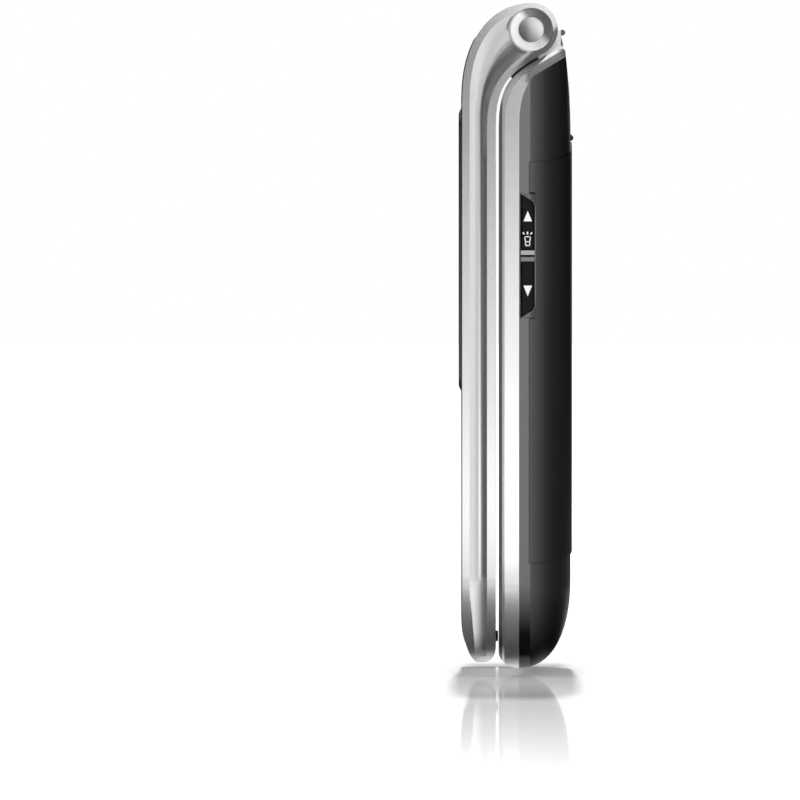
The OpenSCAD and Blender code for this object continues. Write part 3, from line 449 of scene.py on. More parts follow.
# %% Lamps
def lamp(name, where, target, size, power, length=None):
    data = bpy.data.lights.new(name, "AREA")
    data.shape = "RECTANGLE"
    data.size = size
    data.size_y = length or size
    data.energy = power
    piece = bpy.data.objects.new(name, data)
    piece.location = where
    piece.rotation_euler = (Vector(target) - Vector(where)).to_track_quat("-Z", "Y").to_euler()
    piece.visible_camera = False
    piece.visible_glossy = False
    bpy.context.scene.collection.objects.link(piece)


lamp("key_behind", (-0.6, 0.0, 0.96), (0, 0, 0.03), 0.025, 10.3, length=0.14)
lamp("near_soft", (0.95, 0.1, 0.24), (0, 0, 0.05), 0.4, 3.0)
lamp("front_soft", (0.1, -0.95, 0.3), (0, 0, 0.05), 0.5, 2.0)
lamp("rear_soft", (0.1, 0.95, 0.3), (0, 0, 0.05), 0.5, 2.0)
print("lamps:", len(bpy.data.lights))

# %% [markdown]
# ## Smooth curves on the solids
# The solids arrive as small flat facets. A short geometry graph joins their loose triangles,
# shades them smooth and keeps an edge sharp where two faces meet at more than a set angle,
# which is smaller on the phone's flat sides. Weighted normals then let the big flat faces stay
# truly flat beside the small curved ones.

# %% Smoothing modifier
def geometry_graph(name):
    graph = bpy.data.node_groups.new(name, "GeometryNodeTree")
    for way in ("INPUT", "OUTPUT"):
        graph.interface.new_socket("Geometry", in_out=way, socket_type="NodeSocketGeometry")
    start = graph.nodes.new("NodeGroupInput").outputs[0]
    return graph, start, graph.nodes.new("NodeGroupOutput").inputs[0]


def smoothing_graph(angle, side_angle, side_x):
    graph, start, end = geometry_graph("smooth_curves")
    bare = add(graph, "GeometryNodeRemoveAttribute", Geometry=start, Name="custom_normal")
    joined = add(graph, "GeometryNodeMergeByDistance", Geometry=bare.outputs[0],
                 Distance=0.002 * MM)
    smooth = add(graph, "GeometryNodeSetShadeSmooth", Geometry=joined.outputs[0])
    bend = graph.nodes.new("GeometryNodeInputMeshEdgeAngle").outputs["Unsigned Angle"]
    where = add(graph, "ShaderNodeSeparateXYZ",
                Vector=graph.nodes.new("GeometryNodeInputPosition").outputs[0])
    on_side = calc(graph, "GREATER_THAN", calc(graph, "ABSOLUTE", where.outputs["X"]), side_x)
    limit = calc(graph, "SUBTRACT", math.radians(angle),
                 times(graph, on_side, math.radians(angle - side_angle)))
    sharp = add(graph, "FunctionNodeCompare", data_type="FLOAT", operation="GREATER_THAN")
    fill(graph, sharp.inputs, (bend, limit))
    keep = graph.nodes.new("GeometryNodeSetShadeSmooth")
    keep.domain = "EDGE"
    graph.links.new(smooth.outputs[0], keep.inputs["Geometry"])
    graph.links.new(sharp.outputs[0], keep.inputs["Selection"])
    keep.inputs["Shade Smooth"].default_value = False
    graph.links.new(keep.outputs[0], end)
    return graph


side_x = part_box("lid_shell")[1].x - 0.02 * MM
smooth_curves = smoothing_graph(angle=26, side_angle=6, side_x=side_x)
for piece in nodes.values():
    piece.modifiers.new("smooth_curves", "NODES").node_group = smooth_curves
    weighted = piece.modifiers.new("true_flats", "WEIGHTED_NORMAL")
    weighted.mode = "FACE_AREA"
    weighted.weight = 80
    weighted.keep_sharp = True
print("smoothed:", len(nodes))

# %% [markdown]
# ## A closer battery door
# The door needs room to lift off, but on the real phone only a hairline shows round it. So it
# is drawn a hair longer and deeper than its solid, with its back face where it was. The
# stretch comes first in the door's list of modifiers, before the smoothing.

# %% Closer battery door
extra_depth = 0.15 * MM
extra_length = 0.30 * MM
door = nodes["battery_door"]
door_low, door_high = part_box("battery_door")
middle_z = (door_low.z + door_high.z) / 2
stretch_y = 1 + extra_depth / (door_high.y - door_low.y)
stretch_z = 1 + extra_length / (door_high.z - door_low.z)
closer, start, end = geometry_graph("closer_fit")
fitted = add(closer, "GeometryNodeTransform", Geometry=start,
             Translation=(0, door_high.y * (1 - stretch_y), middle_z * (1 - stretch_z)),
             Scale=(1, stretch_y, stretch_z))
closer.links.new(fitted.outputs[0], end)
door.modifiers.new("closer_fit", "NODES").node_group = closer
door.modifiers.move(len(door.modifiers) - 1, 0)
print("door drawn longer by mm:", extra_length / MM)

# %% [markdown]
# ## Landmarks
# Several tones change at the same places: the hinge's middle, the rail beside the lid's cove,
# the crease where the back's side begins to round, and the seam of the grey band, which climbs
# towards the back near the hinge. They are found once, and a few shares are built on them.

# %% Landmarks
hinge_spot = (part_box("hinge_caps")[0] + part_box("hinge_caps")[1]) / 2
rail_y = -5.0 * MM                       # the cove ends and the lid's rail begins
crease_y = door_low.y + 0.03 * MM
back_y = door_high.y
seam_z = 100.5 * MM                      # the band's seam leaves the crease at this height
seam_slope = 0.6


def on_sides(graph, spot, start=20 * MM, end=24 * MM):
    return between(graph, calc(graph, "ABSOLUTE", spot["X"]), start, end)


def seam_height(graph, across, lift=0.0):
    climb = times(graph, calc(graph, "SUBTRACT", across, crease_y), seam_slope)
    return calc(graph, "ADD", climb, seam_z + lift)


print("hinge at y, z in mm:", round(hinge_spot.y / MM, 2), round(hinge_spot.z / MM, 2))

# %% [markdown]
# ## Silver lacquer
# The lid's shell, the front of the base and the four-way key wear silver lacquer: fine metal
# flakes under clear varnish. The flakes are far smaller than a millimetre, so they show only
# as a slight grain in how sharply the finish reflects. Along the edges the colour is lightened,
# as burnished varnish with a painted highlight, which gives the bright hairlines between rail,
# cove and band. An edge is found where the rolled normal differs from the plain one.

# %% Silver lacquer
lacquer_metal = 0.9
burnish_and_highlight = (0.97, 0.97, 0.97)


def silver(name, colour, shading=None, roughness=0.2):
    material, g, shader = finish(name, colour, metallic=lacquer_metal, roughness=roughness,
                                 Coat_Weight=0.25, Coat_Roughness=0.12)
    uneven_gloss(g, shader, 9000.0, 2.0, roughness, 0.04)
    rolled = soft_edges(g, shader, 0.10 * MM)
    plain = g.nodes.new("ShaderNodeNewGeometry").outputs["Normal"]
    edge = remap(g, vector_calc(g, "DOT_PRODUCT", rolled, plain), 0.995, 0.93)
    # the edges lighten: burnished varnish with a painted highlight
    tone = mix(g, edge, colour, burnish_and_highlight)
    if shading:
        tone = shading(g, shader, tone, position(g))
    g.links.new(tone, shader.inputs["Base Color"])
    return material


silver_lacquer = silver("silver_lacquer", (0.90, 0.90, 0.905))
print("lacquer nodes:", len(silver_lacquer.node_tree.nodes))

# %% [markdown]
# ## Silver on the lid
# The crease beside the rail has a painted shade along the side, and the arm has a painted
# shade where it leaves the barrel. Near its lower tip the cove narrows and turns away from all
# cards, so there it keeps its own painted light: bright in front, dark at the rail, and fading
# towards the tip.

# %% Silver on the lid
painted_crease_depth = 0.45


# painted shade in the crease beside the rail, up to where the arm widens
def crease_shade(g, across, up):
    return times(g, between(g, across, rail_y - 0.65 * MM, rail_y - 0.35 * MM),
                 between(g, across, rail_y + 0.1 * MM, rail_y),
                 between(g, up, 90 * MM, 86 * MM), painted_crease_depth)


# painted shade on the arm where it leaves the barrel
def arm_shade(g, across, up):
    # on one side of a slope through the hinge, and near it
    lean = calc(g, "SUBTRACT", calc(g, "SUBTRACT", across, hinge_spot.y),
                calc(g, "SUBTRACT", up, hinge_spot.z))
    flat = add(g, "ShaderNodeCombineXYZ", Y=across, Z=up).outputs[0]
    apart = vector_calc(g, "DISTANCE", flat, (0, hinge_spot.y, hinge_spot.z))
    return times(g, between(g, lean, 3.2 * MM, 4.4 * MM), between(g, apart, 9.5 * MM, 5 * MM))


def low_cove(g, across, up):
    # the cove's front edge draws in towards the tip
    drawn_in = times(g, calc(g, "MAXIMUM", 0.0, calc(g, "SUBTRACT", 15 * MM, up)), 0.085)
    front_edge = calc(g, "ADD", drawn_in, rail_y - 2.95 * MM)
    return times(g, between(g, calc(g, "SUBTRACT", across, front_edge), -0.08 * MM, 0.08 * MM),
                 between(g, across, rail_y + 0.03 * MM, rail_y - 0.05 * MM),
                 between(g, up, 17 * MM, 13 * MM), between(g, up, 1.8 * MM, 4 * MM))


def lid_shading(g, shader, tone, spot):
    across, up = spot["Y"], spot["Z"]
    painted_lid_shade = calc(g, "MAXIMUM", crease_shade(g, across, up), arm_shade(g, across, up))
    # the painted shade's dark tone, on the sides only
    tone = mix(g, times(g, on_sides(g, spot), painted_lid_shade), tone, (0.16, 0.16, 0.162))
    cove = low_cove(g, across, up)
    g.links.new(fade(g, cove, lacquer_metal, 0.0), shader.inputs["Metallic"])
    painted = by_place(g, across, rail_y - 3 * MM, rail_y,
                       [(rail_y - 2.1 * MM, 0.92), (rail_y - 1.45 * MM, 0.66),
                        (rail_y - 0.77 * MM, 0.23), (rail_y - 0.2 * MM, 0.13)])
    near_tip = by_place(g, up, 0, 10 * MM, [(2.6 * MM, 0.3), (6.5 * MM, 1.0)])
    return mix(g, cove, tone, mix(g, 1.0, painted, near_tip, "MULTIPLY"))


lid_silver = silver("lid_silver", (0.74, 0.74, 0.745), lid_shading)
print("lid silver nodes:", len(lid_silver.node_tree.nodes))

# %% [markdown]
# ## Silver on the base
# Along the sides the chamfer is satin and painted grey as shade, darker where it passes under
# the phone. So is the strip over the grey band's turn. The whole base gets a painted shade low
# down, a little greyer, and the hook behind the hinge is painted dark as shade.

# %% Silver on the base
chamfer_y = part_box("front_shell")[0].y + 0.98 * MM
chamfer_top = 103 * MM
strip_lift = 1.45 * MM       # the strip's upper edge above the band's seam
hook_y, hook_z = 7.6 * MM, 106 * MM


def base_shading(g, shader, tone, spot):
    across, up = spot["Y"], spot["Z"]
    chamfer = times(g, calc(g, "LESS_THAN", across, chamfer_y),
                    calc(g, "LESS_THAN", up, chamfer_top))
    # painted shade on the strip over the grey band's turn
    over_strip = calc(g, "SUBTRACT", up, seam_height(g, across, strip_lift))
    strip = times(g, between(g, over_strip, 0.1 * MM, -0.1 * MM),
                  between(g, across, 0.5 * MM, 2.2 * MM),
                  between(g, up, 98.5 * MM, 100.2 * MM))
    satin_and_painted_shade = calc(g, "MAXIMUM", times(g, on_sides(g, spot, 15 * MM, 19 * MM), chamfer),
                 times(g, on_sides(g, spot), strip))
    g.links.new(fade(g, satin_and_painted_shade, lacquer_metal, 0.1 * lacquer_metal), shader.inputs["Metallic"])
    # the painted shade's grey, darker where the chamfer passes under the phone
    painted_satin_shade = by_place(g, up, 0, 13 * MM,
                          [(0, 0.02), (4 * MM, 0.02), (7 * MM, 0.08), (12 * MM, 0.155)])
    # painted shade low down
    painted_low_shade = times(g, between(g, up, 20 * MM, 15 * MM), 0.4)
    tone = mix(g, painted_low_shade, tone, (0.5, 0.5, 0.5))
    tone = mix(g, satin_and_painted_shade, tone, painted_satin_shade)
    # painted shade on the hook behind the hinge
    hook = times(g, calc(g, "GREATER_THAN", across, hook_y),
                 calc(g, "GREATER_THAN", up, hook_z))
    return mix(g, hook, tone, (0.12, 0.12, 0.12))


base_silver = silver("base_silver", (0.90, 0.90, 0.905), base_shading)
print("base silver nodes:", len(base_silver.node_tree.nodes))

# %% [markdown]
# ## Black gloss
# The lid's panel and the key plate are piano-black moulding: nearly black inside, with all
# their light in the surface reflection. A slow noise changes how sharp the reflection is, as
# on any moulded and handled surface. The windows are smoked acrylic, smoother than the shells.

# %% Black gloss
def black_gloss(name, colour=(0.010, 0.0095, 0.0095), roughness=0.16, edge=0.08, **sockets):
    material, g, shader = finish(name, colour, roughness=roughness, **sockets)
    uneven_gloss(g, shader, 60.0, 1.0, roughness, 0.03)
    soft_edges(g, shader, edge * MM)
    return material, g, shader


piano_black = black_gloss("piano_black", Coat_Weight=0.6, Coat_Roughness=0.05)[0]
window_black = black_gloss("smoked_window", (0.006, 0.006, 0.007), 0.06, 0.06,
                           Coat_Weight=0.6, Coat_Roughness=0.05)[0]
print("black gloss:", piano_black.name, window_black.name)

# %% [markdown]
# ## The back's black, with painted light and shade
# The back shell and the battery door are black moulding with painted light and shade: charcoal
# where the side begins to round, turning to deep black towards the back, and darker low down.
# Ahead of that crease runs a plain grey band, part of the same shell. It turns back with the
# seam near the hinge, and where it passes under the phone it darkens with painted shade, with a
# painted reflection of the table along its foot. The plate round the side keys crosses both: its
# low rim has their tones, its raised face is black.

# %% Black with painted light and shade
band_grey = (0.178, 0.175, 0.175)
plate_face_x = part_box("side_key_frame")[1].x - 0.08 * MM


def smoked(name, over=None):
    material, g, shader = black_gloss(name, roughness=0.34, Specular_IOR_Level=0.035)
    spot = position(g)
    # painted light and shade: charcoal where the side begins to round, deep black at the back
    tone = by_place(g, spot["Y"], crease_y, back_y,
                    [(crease_y, (0.094, 0.093, 0.093)),
                     (crease_y + 1.0 * MM, (0.066, 0.065, 0.065)),
                     (crease_y + 2.55 * MM, (0.027, 0.026, 0.026)),
                     (crease_y + 3.7 * MM, (0.013, 0.012, 0.012)),
                     (crease_y + 5.1 * MM, (0.006, 0.0052, 0.005)),
                     (back_y, (0.0015, 0.001, 0.001))])
    # painted shade, darker low down
    painted_low_shade = by_place(g, spot["Z"], 0, 15 * MM, [(3 * MM, 0.1), (14 * MM, 1.0)])
    tone = mix(g, 1.0, tone, painted_low_shade, "MULTIPLY")
    if over:
        tone = over(g, tone, spot)
    g.links.new(tone, shader.inputs["Base Color"])
    return material


def grey_band(g, tone, spot):
    ahead = calc(g, "LESS_THAN", spot["Y"], crease_y)
    above = calc(g, "GREATER_THAN", spot["Z"], seam_height(g, spot["Y"]))
    # the band's grey, with painted shade where it passes under the phone and a painted reflection
    # of the table along its very foot
    band_with_painted_shade = by_place(g, spot["Z"], 0, 16 * MM,
                         [(0, (0.13, 0.128, 0.128)), (1.6 * MM, (0.11, 0.108, 0.108)),
                          (2.6 * MM, (0.006, 0.005, 0.005)), (6.5 * MM, (0.008, 0.006, 0.006)),
                          (10 * MM, (0.06, 0.059, 0.059)), (15 * MM, band_grey)])
    return mix(g, calc(g, "MAXIMUM", ahead, above), tone, band_with_painted_shade)


def plate_tones(g, tone, spot):
    rim = mix(g, calc(g, "LESS_THAN", spot["Y"], crease_y), tone, band_grey)
    raised = calc(g, "GREATER_THAN", spot["X"], plate_face_x)
    return mix(g, raised, rim, (0.006, 0.0055, 0.006))


painted_shade_black = smoked("painted_shade_black")
banded_black = smoked("banded_black", grey_band)
plate_black = smoked("plate_black", plate_tones)
print("grey band ends at y in mm:", round(crease_y / MM, 2))

# %% [markdown]
# ## Rubber, keys and plain metals
# Key caps are satin black with a fine grain. Rubber is dull and slightly mottled. Steel parts
# inside carry turning or brushing marks, so their noise is stretched along the part, tin
# plate is softer, and chrome is nearly a mirror. One recipe serves them all: a noise tints the
# colour a little and gives the surface a slight relief.

# %% Rubber, keys and plain metals
def grainy(name, colour, roughness, scale, bump, metallic=0.0, stretch=(1, 1, 1), spread=0.15,
           edge=0.06, **sockets):
    material, g, shader = finish(name, colour, metallic=metallic, roughness=roughness, **sockets)
    noise = add(g, "ShaderNodeTexNoise", Vector=place(g, stretch), Scale=scale, Detail=3.0)
    tint = ramp(g, noise.outputs["Fac"],
                [(0.3, tuple(c * (1 - spread) for c in colour)),
                 (0.7, tuple(min(1, c * (1 + spread)) for c in colour))])
    g.links.new(tint, shader.inputs["Base Color"])
    rolled = soft_edges(g, shader, edge * MM)
    relief = add(g, "ShaderNodeBump", Strength=bump, Distance=0.02 * MM,
                 Height=noise.outputs["Fac"], Normal=rolled)
    g.links.new(relief.outputs[0], shader.inputs["Normal"])
    return material


side_key_black = grainy("side_key_black", (0.007, 0.0068, 0.007), 0.4, 6000, 0.15,
                        Specular_IOR_Level=0.12)
key_cap_black = grainy("key_cap_black", (0.02, 0.02, 0.021), 0.3, 5000, 0.15, Coat_Weight=0.2)
bumper_rubber = grainy("bumper_rubber", (0.016, 0.016, 0.016), 0.75, 4000, 0.3)
silicone = grainy("silicone", (0.22, 0.22, 0.23), 0.6, 2500, 0.2)
dull_black = grainy("dull_black", (0.02, 0.02, 0.02), 0.55, 3000, 0.25)
ring_grey = grainy("ring_grey", (0.23, 0.23, 0.235), 0.35, 3000, 0.1)
brushed_steel = grainy("brushed_steel", (0.55, 0.55, 0.56), 0.33, 1500, 0.2, metallic=1.0,
                       stretch=(0.15, 1, 1))
tin_plate = grainy("tin_plate", (0.68, 0.68, 0.69), 0.3, 700, 0.1, metallic=1.0, spread=0.08)
gold_flash = grainy("gold_flash", (0.85, 0.62, 0.25), 0.22, 900, 0.1, metallic=1.0, spread=0.06)
chrome = grainy("polished_trim", (0.93, 0.93, 0.94), 0.22, 400, 0.02, metallic=1.0, spread=0.02)
print("materials so far:", len(bpy.data.materials))

# %% [markdown]
# ## Battery, lamp, displays and board
# The battery wears a dark shrink wrap, the torch lamp a clear dome over white, and the
# displays a dark glass that is nearly a mirror. The board is green lacquer over copper tracks,
# and a brick pattern stands in for the tracks.

# %% Battery, lamp, displays and board
battery_wrap = grainy("battery_wrap", (0.055, 0.06, 0.065), 0.4, 1200, 0.15)
lamp_lens = grainy("lamp_lens", (0.86, 0.86, 0.8), 0.2, 500, 0.05, Coat_Weight=0.6)
display_face = grainy("display_face", (0.018, 0.02, 0.024), 0.12, 300, 0.0, spread=0.05,
                      Coat_Weight=0.8)
board_green, g, shader = finish("board_green", (0.012, 0.10, 0.045), roughness=0.35)
tracks = add(g, "ShaderNodeTexBrick", Vector=place(g, (260, 260, 260)), offset=0.37, squash=0.6,
             Color1=(0.01, 0.085, 0.04, 1), Color2=(0.014, 0.13, 0.06, 1),
             Mortar=(0.02, 0.16, 0.08, 1))
tracks.inputs["Mortar Size"].default_value = 0.05
g.links.new(tracks.outputs["Color"], shader.inputs["Base Color"])
print("board nodes:", len(g.nodes))

# %% [markdown]
# ## Bright trim
# The rings and caps at the hinge are polished and small, and each has a painted reflection of
# one light and one dark half of the room. A slope through the hinge's middle draws these
# halves: the rings are light in front and below, and the domed caps behind and above. The bars
# between the side keys are plain satin silver, the lower one greyer.

# %% Bright trim
def hinge_trim(name, stops):
    material, g, shader = finish(name, (0.9, 0.9, 0.9), metallic=0.35, roughness=0.3)
    spot = position(g)
    # painted reflection: the slope through the hinge splits a light half from a dark half
    slope = calc(g, "ADD", times(g, calc(g, "SUBTRACT", spot["Y"], hinge_spot.y), 0.75),
                 times(g, calc(g, "SUBTRACT", spot["Z"], hinge_spot.z), 0.66))
    half_width = 3.6 * MM
    g.links.new(by_place(g, slope, -half_width, half_width, stops), shader.inputs["Base Color"])
    soft_edges(g, shader, 0.08 * MM)
    return material


ring_chrome = hinge_trim("ring_chrome", [(-3.6 * MM, 0.95), (0.2 * MM, 0.95),
                                         (1.3 * MM, 0.22), (3.6 * MM, 0.12)])
cap_chrome = hinge_trim("cap_chrome", [(-2.0 * MM, 0.12), (-0.6 * MM, 0.3),
                                       (0.9 * MM, 0.75), (2.0 * MM, 0.95)])
bar_silver, g, shader = finish("bar_silver", (0.4, 0.4, 0.4), metallic=0.2, roughness=0.4)
g.links.new(by_place(g, position(g)["Z"], 69 * MM, 72 * MM,
                     [(70.35 * MM, 0.2), (70.45 * MM, 0.4)]), shader.inputs["Base Color"])
soft_edges(g, shader, 0.06 * MM)
print("bright trim:", ring_chrome.name, cap_chrome.name, bar_silver.name)

# %% [markdown]
# ## Printing inks
# The signs and digits are matt ink on the keys: white, green and red, and a dark grey for the
# lip round the side keys' plate.

# %% Printing inks
def ink(name, colour, spread=0.05, **sockets):
    return grainy(name, colour, 0.5, 4000, 0.05, spread=spread, **sockets)


sign_white = ink("sign_white", (0.92, 0.92, 0.92), 0.03, Specular_IOR_Level=0.2)
rim_grey = ink("rim_grey", (0.15, 0.15, 0.15), Specular_IOR_Level=0.2)
sign_green = ink("sign_green", (0.03, 0.45, 0.08))
sign_red = ink("sign_red", (0.55, 0.03, 0.03))
print("materials:", len(bpy.data.materials))

# %% [markdown]
# ## A finish for every piece
# Each solid gets the finish of the real piece it stands for.

# %% Dress the pieces
finishes = {
    silver_lacquer: ["nav_ring"],
    lid_silver: ["lid_shell"],
    base_silver: ["front_shell"],
    piano_black: ["lid_front_panel", "lid_inner_frame", "key_plate"],
    painted_shade_black: ["battery_door"],
    banded_black: ["back_shell"],
    window_black: ["outer_window", "main_window"],
    side_key_black: ["side_key_up", "side_key_down"],
    plate_black: ["side_key_frame"],
    key_cap_black: [n for n in nodes if n.startswith("key_") and n not in
                    ("key_plate", "key_mat")] +
                   ["soft_key_left", "soft_key_right", "call_key", "end_key", "ok_key"],
    bumper_rubber: ["lid_bumpers", "rest_studs"],
    silicone: ["key_mat"],
    brushed_steel: ["earpiece", "hinge_follower", "hinge_pin", "loudspeaker",
                    "vibration_motor", "hinge_barrel", "hinge_spring", "shell_screws"],
    tin_plate: ["shield_can", "card_holder", "usb_socket"],
    gold_flash: ["battery_contacts", "microphone"],
    chrome: ["camera_ring"],
    ring_chrome: ["hinge_rings"],
    cap_chrome: ["hinge_caps"],
    bar_silver: ["side_key_bars"],
    dull_black: ["camera_module", "headphone_socket"],
    ring_grey: ["socket_ring"],
    battery_wrap: ["battery"],
    lamp_lens: ["torch_lamp"],
    display_face: ["outer_display", "main_display"],
    board_green: ["lid_board", "main_board"],
}
dressed = set()
for material, names in finishes.items():
    for name in names:
        data = nodes[name].data
        data.materials.clear()
        data.materials.append(material)
        dressed.add(name)
print("dressed:", len(dressed), "left plain:", sorted(set(nodes) - dressed))

# %% [markdown]
# ## Flat pieces
# The signs and the buffer are thin flat pieces. Each is drawn as closed outlines in
# millimetres on a plane, given a thickness by extruding its face, and set in place by a
# matrix: onto a side that faces +X, or onto a front that faces -Y.

# %% Flat pieces
def flat_piece(name, body, material, outlines, to_place, thickness):
    shape = bmesh.new()
    for outline in outlines:
        area = sum(a[0] * b[1] - b[0] * a[1] for a, b in zip(outline, outline[1:] + outline[:1]))
        points = outline if area > 0 else outline[::-1]
        face = shape.faces.new([shape.verts.new((u, v, 0)) for u, v in points])
        lifted = bmesh.ops.extrude_face_region(shape, geom=[face])["geom"]
        bmesh.ops.translate(shape, vec=(0, 0, thickness),
                            verts=[v for v in lifted if isinstance(v, bmesh.types.BMVert)])
    bmesh.ops.recalc_face_normals(shape, faces=shape.faces)
    bmesh.ops.transform(shape, matrix=to_place, verts=shape.verts)
    mesh = bpy.data.meshes.new(name)
    shape.to_mesh(mesh)
    shape.free()
    mesh.materials.append(material)
    piece = bpy.data.objects.new(name, mesh)
    bpy.context.scene.collection.objects.link(piece)
    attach(piece, body)


def side_face(x):
    # u runs along Y and v along Z
    return Matrix(((0, 0, MM, x), (MM, 0, 0, 0), (0, MM, 0, 0), (0, 0, 0, 1)))


def front_face(y):
    # u runs along X and v along Z
    return Matrix(((MM, 0, 0, 0), (0, 0, -MM, y), (0, MM, 0, 0), (0, 0, 0, 1)))


def bar(start, end, width):
    along = (Vector(end) - Vector(start)).normalized() * width / 2
    side = Vector((-along.y, along.x))
    corners = (Vector(start) - side, Vector(end) - side, Vector(end) + side, Vector(start) + side)
    return [tuple(corner) for corner in corners]


def path_bars(points, width):
    # straight bars from point to point, each a little longer so that corners close
    bars = []
    for start, end in zip(points, points[1:]):
        reach = (Vector(end) - Vector(start)).normalized() * width * 0.3
        bars.append(bar(Vector(start) - reach, Vector(end) + reach, width))
    return bars

# %% [markdown]
# ## Dark strip under the hinge
# A thin dark strip lies on the base where the lid's arms leave the barrels, a dark piece that
# stands for the shade in the gap. It fills most of the gap there, so no light shows between the
# arms and the base, and the lid swings away from it. Its outline follows the arms' underside, a
# smooth curve from the barrel down to the lid's back.

# %% Dark strip under the hinge
barrel_radius = 4.5                       # this and the others here in mm
lid_back = -3.44
curve_foot, foot_pull = 92.5, 8.0         # where the curve meets the lid's back, and how firmly
barrel_slope, barrel_pull = math.radians(30), 5.2
gap_top, gap_bottom = 0.08, 0.46          # the strip's faces, below the arms
curve_start, curve_end, curve_steps = 0.09, 0.5, 14
shade_strip_side, shade_strip_length = -26.5, 53


def gap_curve(offset):
    # the underside of the lid's arms, moved down towards the base, as (y, z) points
    reach = barrel_radius + offset
    top = (hinge_spot.y / MM + reach * math.sin(barrel_slope),
           hinge_spot.z / MM - reach * math.cos(barrel_slope))
    back = lid_back + offset
    ends = (top, (top[0] - barrel_pull * math.cos(barrel_slope),
                  top[1] - barrel_pull * math.sin(barrel_slope)),
            (back, curve_foot + foot_pull), (back, curve_foot))
    points = []
    for i in range(curve_steps + 1):
        t = curve_start + (curve_end - curve_start) * i / curve_steps
        weights = ((1 - t) ** 3, 3 * t * (1 - t) ** 2, 3 * t * t * (1 - t), t ** 3)
        points.append(tuple(sum(w * p[axis] for w, p in zip(weights, ends)) for axis in (0, 1)))
    return points


upper_edge = gap_curve(gap_top)
# the dark strip that stands for the gap's shade
flat_piece("hinge_gap_shade", "base", bumper_rubber,
           [upper_edge + gap_curve(gap_bottom)[::-1]], side_face(shade_strip_side * MM), shade_strip_length)
print("buffer from z to z in mm:", round(upper_edge[0][1], 2), round(upper_edge[-1][1], 2))

# %% [markdown]
# ## Signs on the side keys
# The volume keys carry an up arrow, a small torch sign and a down arrow in white ink. A thin
# grey lip runs round the key plate's rear edge. Each sign is a thin flat piece that sits on
# its key and moves with it.

# %% Signs on the side keys
key_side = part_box("side_key_up")[1].x - 0.01 * MM
print_height = 0.05
lip_width, lip_height = 0.2, 0.35
plate_middle = 70.4


def side_sign(name, body, outlines):
    flat_piece(name, body, sign_white, outlines, side_face(key_side), print_height)


def arrow(base_z, tip_z):
    return [(1.25, base_z), (2.7, base_z), (1.97, tip_z)]


torch_beams = [bar((1.12, 74.38), (1.4, 74.05), 0.22), bar((1.93, 74.52), (1.93, 74.05), 0.25),
               bar((2.72, 74.38), (2.44, 74.05), 0.22)]
torch_body = path_bars([(1.46, 73.5), (1.6, 73.66), (2.28, 73.66), (2.43, 73.5), (2.3, 72.85),
                        (2.3, 72.15), (1.6, 72.15), (1.6, 72.85), (1.46, 73.5)], 0.19)
torch_collar = bar((1.6, 72.8), (2.3, 72.8), 0.17)
side_sign("sign_up", "side_key_up", [arrow(76.25, 78.05)])
side_sign("sign_down", "side_key_down", [arrow(65.38, 63.55)])
side_sign("sign_torch", "side_key_up", torch_beams + torch_body + [torch_collar])
half_lip = [(0.85, 10.65), (2.55, 9.45), (2.95, 9.05), (3.22, 8.3), (3.25, 7.4)]
lip = ([(y, plate_middle + z) for y, z in half_lip]
       + [(y, plate_middle - z) for y, z in half_lip[::-1]])
lip_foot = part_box("side_key_frame")[1].x - lip_height * MM
flat_piece("key_plate_lip", "base", rim_grey, path_bars(lip, lip_width),
           side_face(lip_foot), lip_height)
print("signs on the side keys, plane at x in mm:", round(key_side / MM, 2))

# %% [markdown]
# ## Digits on the number keys
# The number keys carry plain digits with a star and a hash sign. A text curve makes each one.
# It is made a mesh, centred on its own outline and stood upright on its key. The star is drawn
# larger, because the font sets it small.

# %% Digits on the number keys
digit_size, star_size = 6.0 * MM, 9.0 * MM


def middle(values):
    return (min(values) + max(values)) / 2


def printed_digit(name, body, text, size):
    low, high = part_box(body)
    letter = bpy.data.curves.new(name, "FONT")
    letter.body = text
    letter.size = size
    letter.align_x = "CENTER"
    letter.align_y = "CENTER"
    letter.extrude = print_height * MM / 2
    letter.resolution_u = 4
    holder = bpy.data.objects.new(name + "_text", letter)
    bpy.context.scene.collection.objects.link(holder)
    bpy.context.view_layer.update()
    mesh = bpy.data.meshes.new_from_object(holder.evaluated_get(
        bpy.context.evaluated_depsgraph_get()))
    bpy.data.objects.remove(holder)
    bpy.data.curves.remove(letter)
    centre = (middle([v.co.x for v in mesh.vertices]), middle([v.co.y for v in mesh.vertices]))
    mesh.transform(Matrix.Translation(((low.x + high.x) / 2, low.y, (low.z + high.z) / 2))
                   @ Matrix.Rotation(math.radians(90), 4, "X")
                   @ Matrix.Translation((-centre[0], -centre[1], 0)))
    mesh.name = name
    mesh.materials.clear()
    mesh.materials.append(sign_white)
    piece = bpy.data.objects.new(name, mesh)
    bpy.context.scene.collection.objects.link(piece)
    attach(piece, body)


key_texts = {f"key_{n}": str(n) for n in range(10)}
key_texts["key_star"] = "*"
key_texts["key_hash"] = "#"
for body, text in key_texts.items():
    printed_digit("print_" + body, body, text, star_size if text == "*" else digit_size)
print("digits and signs:", len(key_texts))

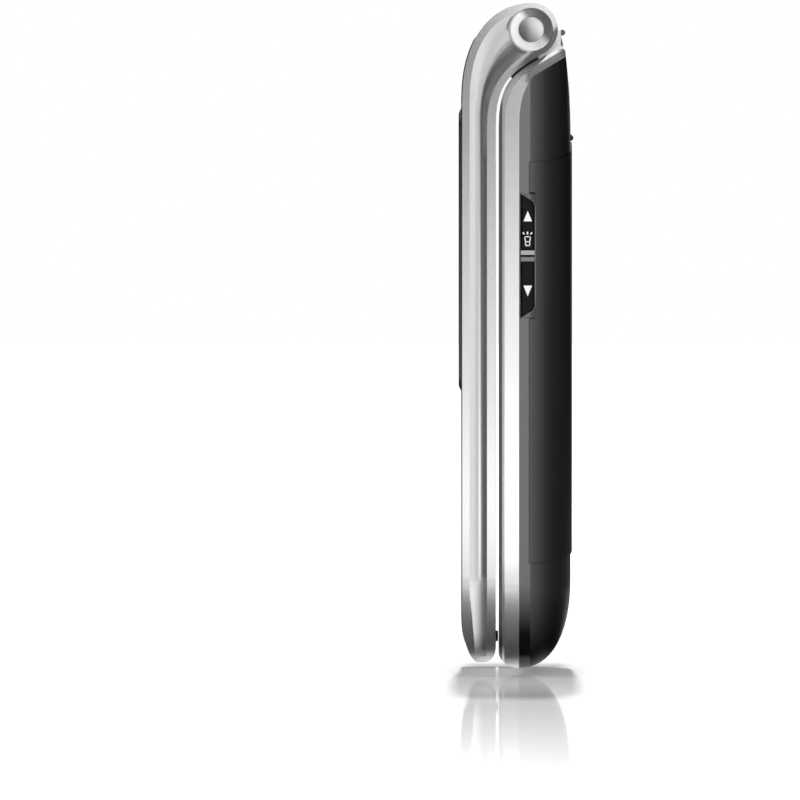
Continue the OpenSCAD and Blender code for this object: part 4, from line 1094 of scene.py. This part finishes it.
# %% [markdown]
# ## Signs on the upper keys
# The upper keys carry a handset in green, one in red, two bars over the soft keys and four
# small marks on the ring. A handset is an arched grip with an ear piece and a mouth piece.

# %% Signs on the upper keys
grip_outer, grip_inner, grip_drop = 1.9, 1.15, 0.9
grip_from, grip_to = 25, 155               # angles in degrees
ear_piece = ((0.95, -0.75), (2.1, -0.75), (2.1, 0.1), (0.95, 0.1))
soft_bar_half, soft_bar_width = 1.8, 0.6
ring_mark = ((-0.4, -0.75), (0.55, 0.0), (-0.4, 0.75))


def arc(radius, start, end, steps=10):
    angles = [math.radians(start + (end - start) * i / steps) for i in range(steps + 1)]
    return [(radius * math.cos(a), radius * math.sin(a) - grip_drop) for a in angles]


def turned(outline, x, z, cosine, sine):
    return [(x + u * cosine - v * sine, z + u * sine + v * cosine) for u, v in outline]


def handset(x, z, turn):
    grip = arc(grip_outer, grip_from, grip_to) + arc(grip_inner, grip_to, grip_from)
    ends = [[(side * u, v) for u, v in ear_piece] for side in (1, -1)]
    return [turned(outline, x, z, math.cos(turn), math.sin(turn)) for outline in [grip] + ends]


def key_middle(body):
    low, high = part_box(body)
    return (low.x + high.x) / 2 / MM, (low.z + high.z) / 2 / MM, low.y + 0.01 * MM


def radius_of(body):
    low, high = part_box(body)
    return (high.x - low.x) / 2 / MM


x, z, y = key_middle("call_key")
flat_piece("print_call", "call_key", sign_green,
           handset(x, z, math.radians(45)), front_face(y), print_height)
x, z, y = key_middle("end_key")
flat_piece("print_end", "end_key", sign_red,
           handset(x, z, 0), front_face(y), print_height)
for body in ("soft_key_left", "soft_key_right"):
    x, z, y = key_middle(body)
    flat_piece("print_" + body, body, sign_white,
               [bar((x - soft_bar_half, z), (x + soft_bar_half, z), soft_bar_width)],
               front_face(y), print_height)
x, z, y = key_middle("nav_ring")
mark_radius = (radius_of("nav_ring") + radius_of("ok_key")) / 2
out_mark = [(mark_radius + u, v) for u, v in ring_mark]
marks = [turned(out_mark, x, z, c, s) for c, s in ((1, 0), (0, 1), (-1, 0), (0, -1))]
flat_piece("print_ring", "nav_ring", dull_black, marks, front_face(y), print_height)
print("marks on the ring:", len(marks))
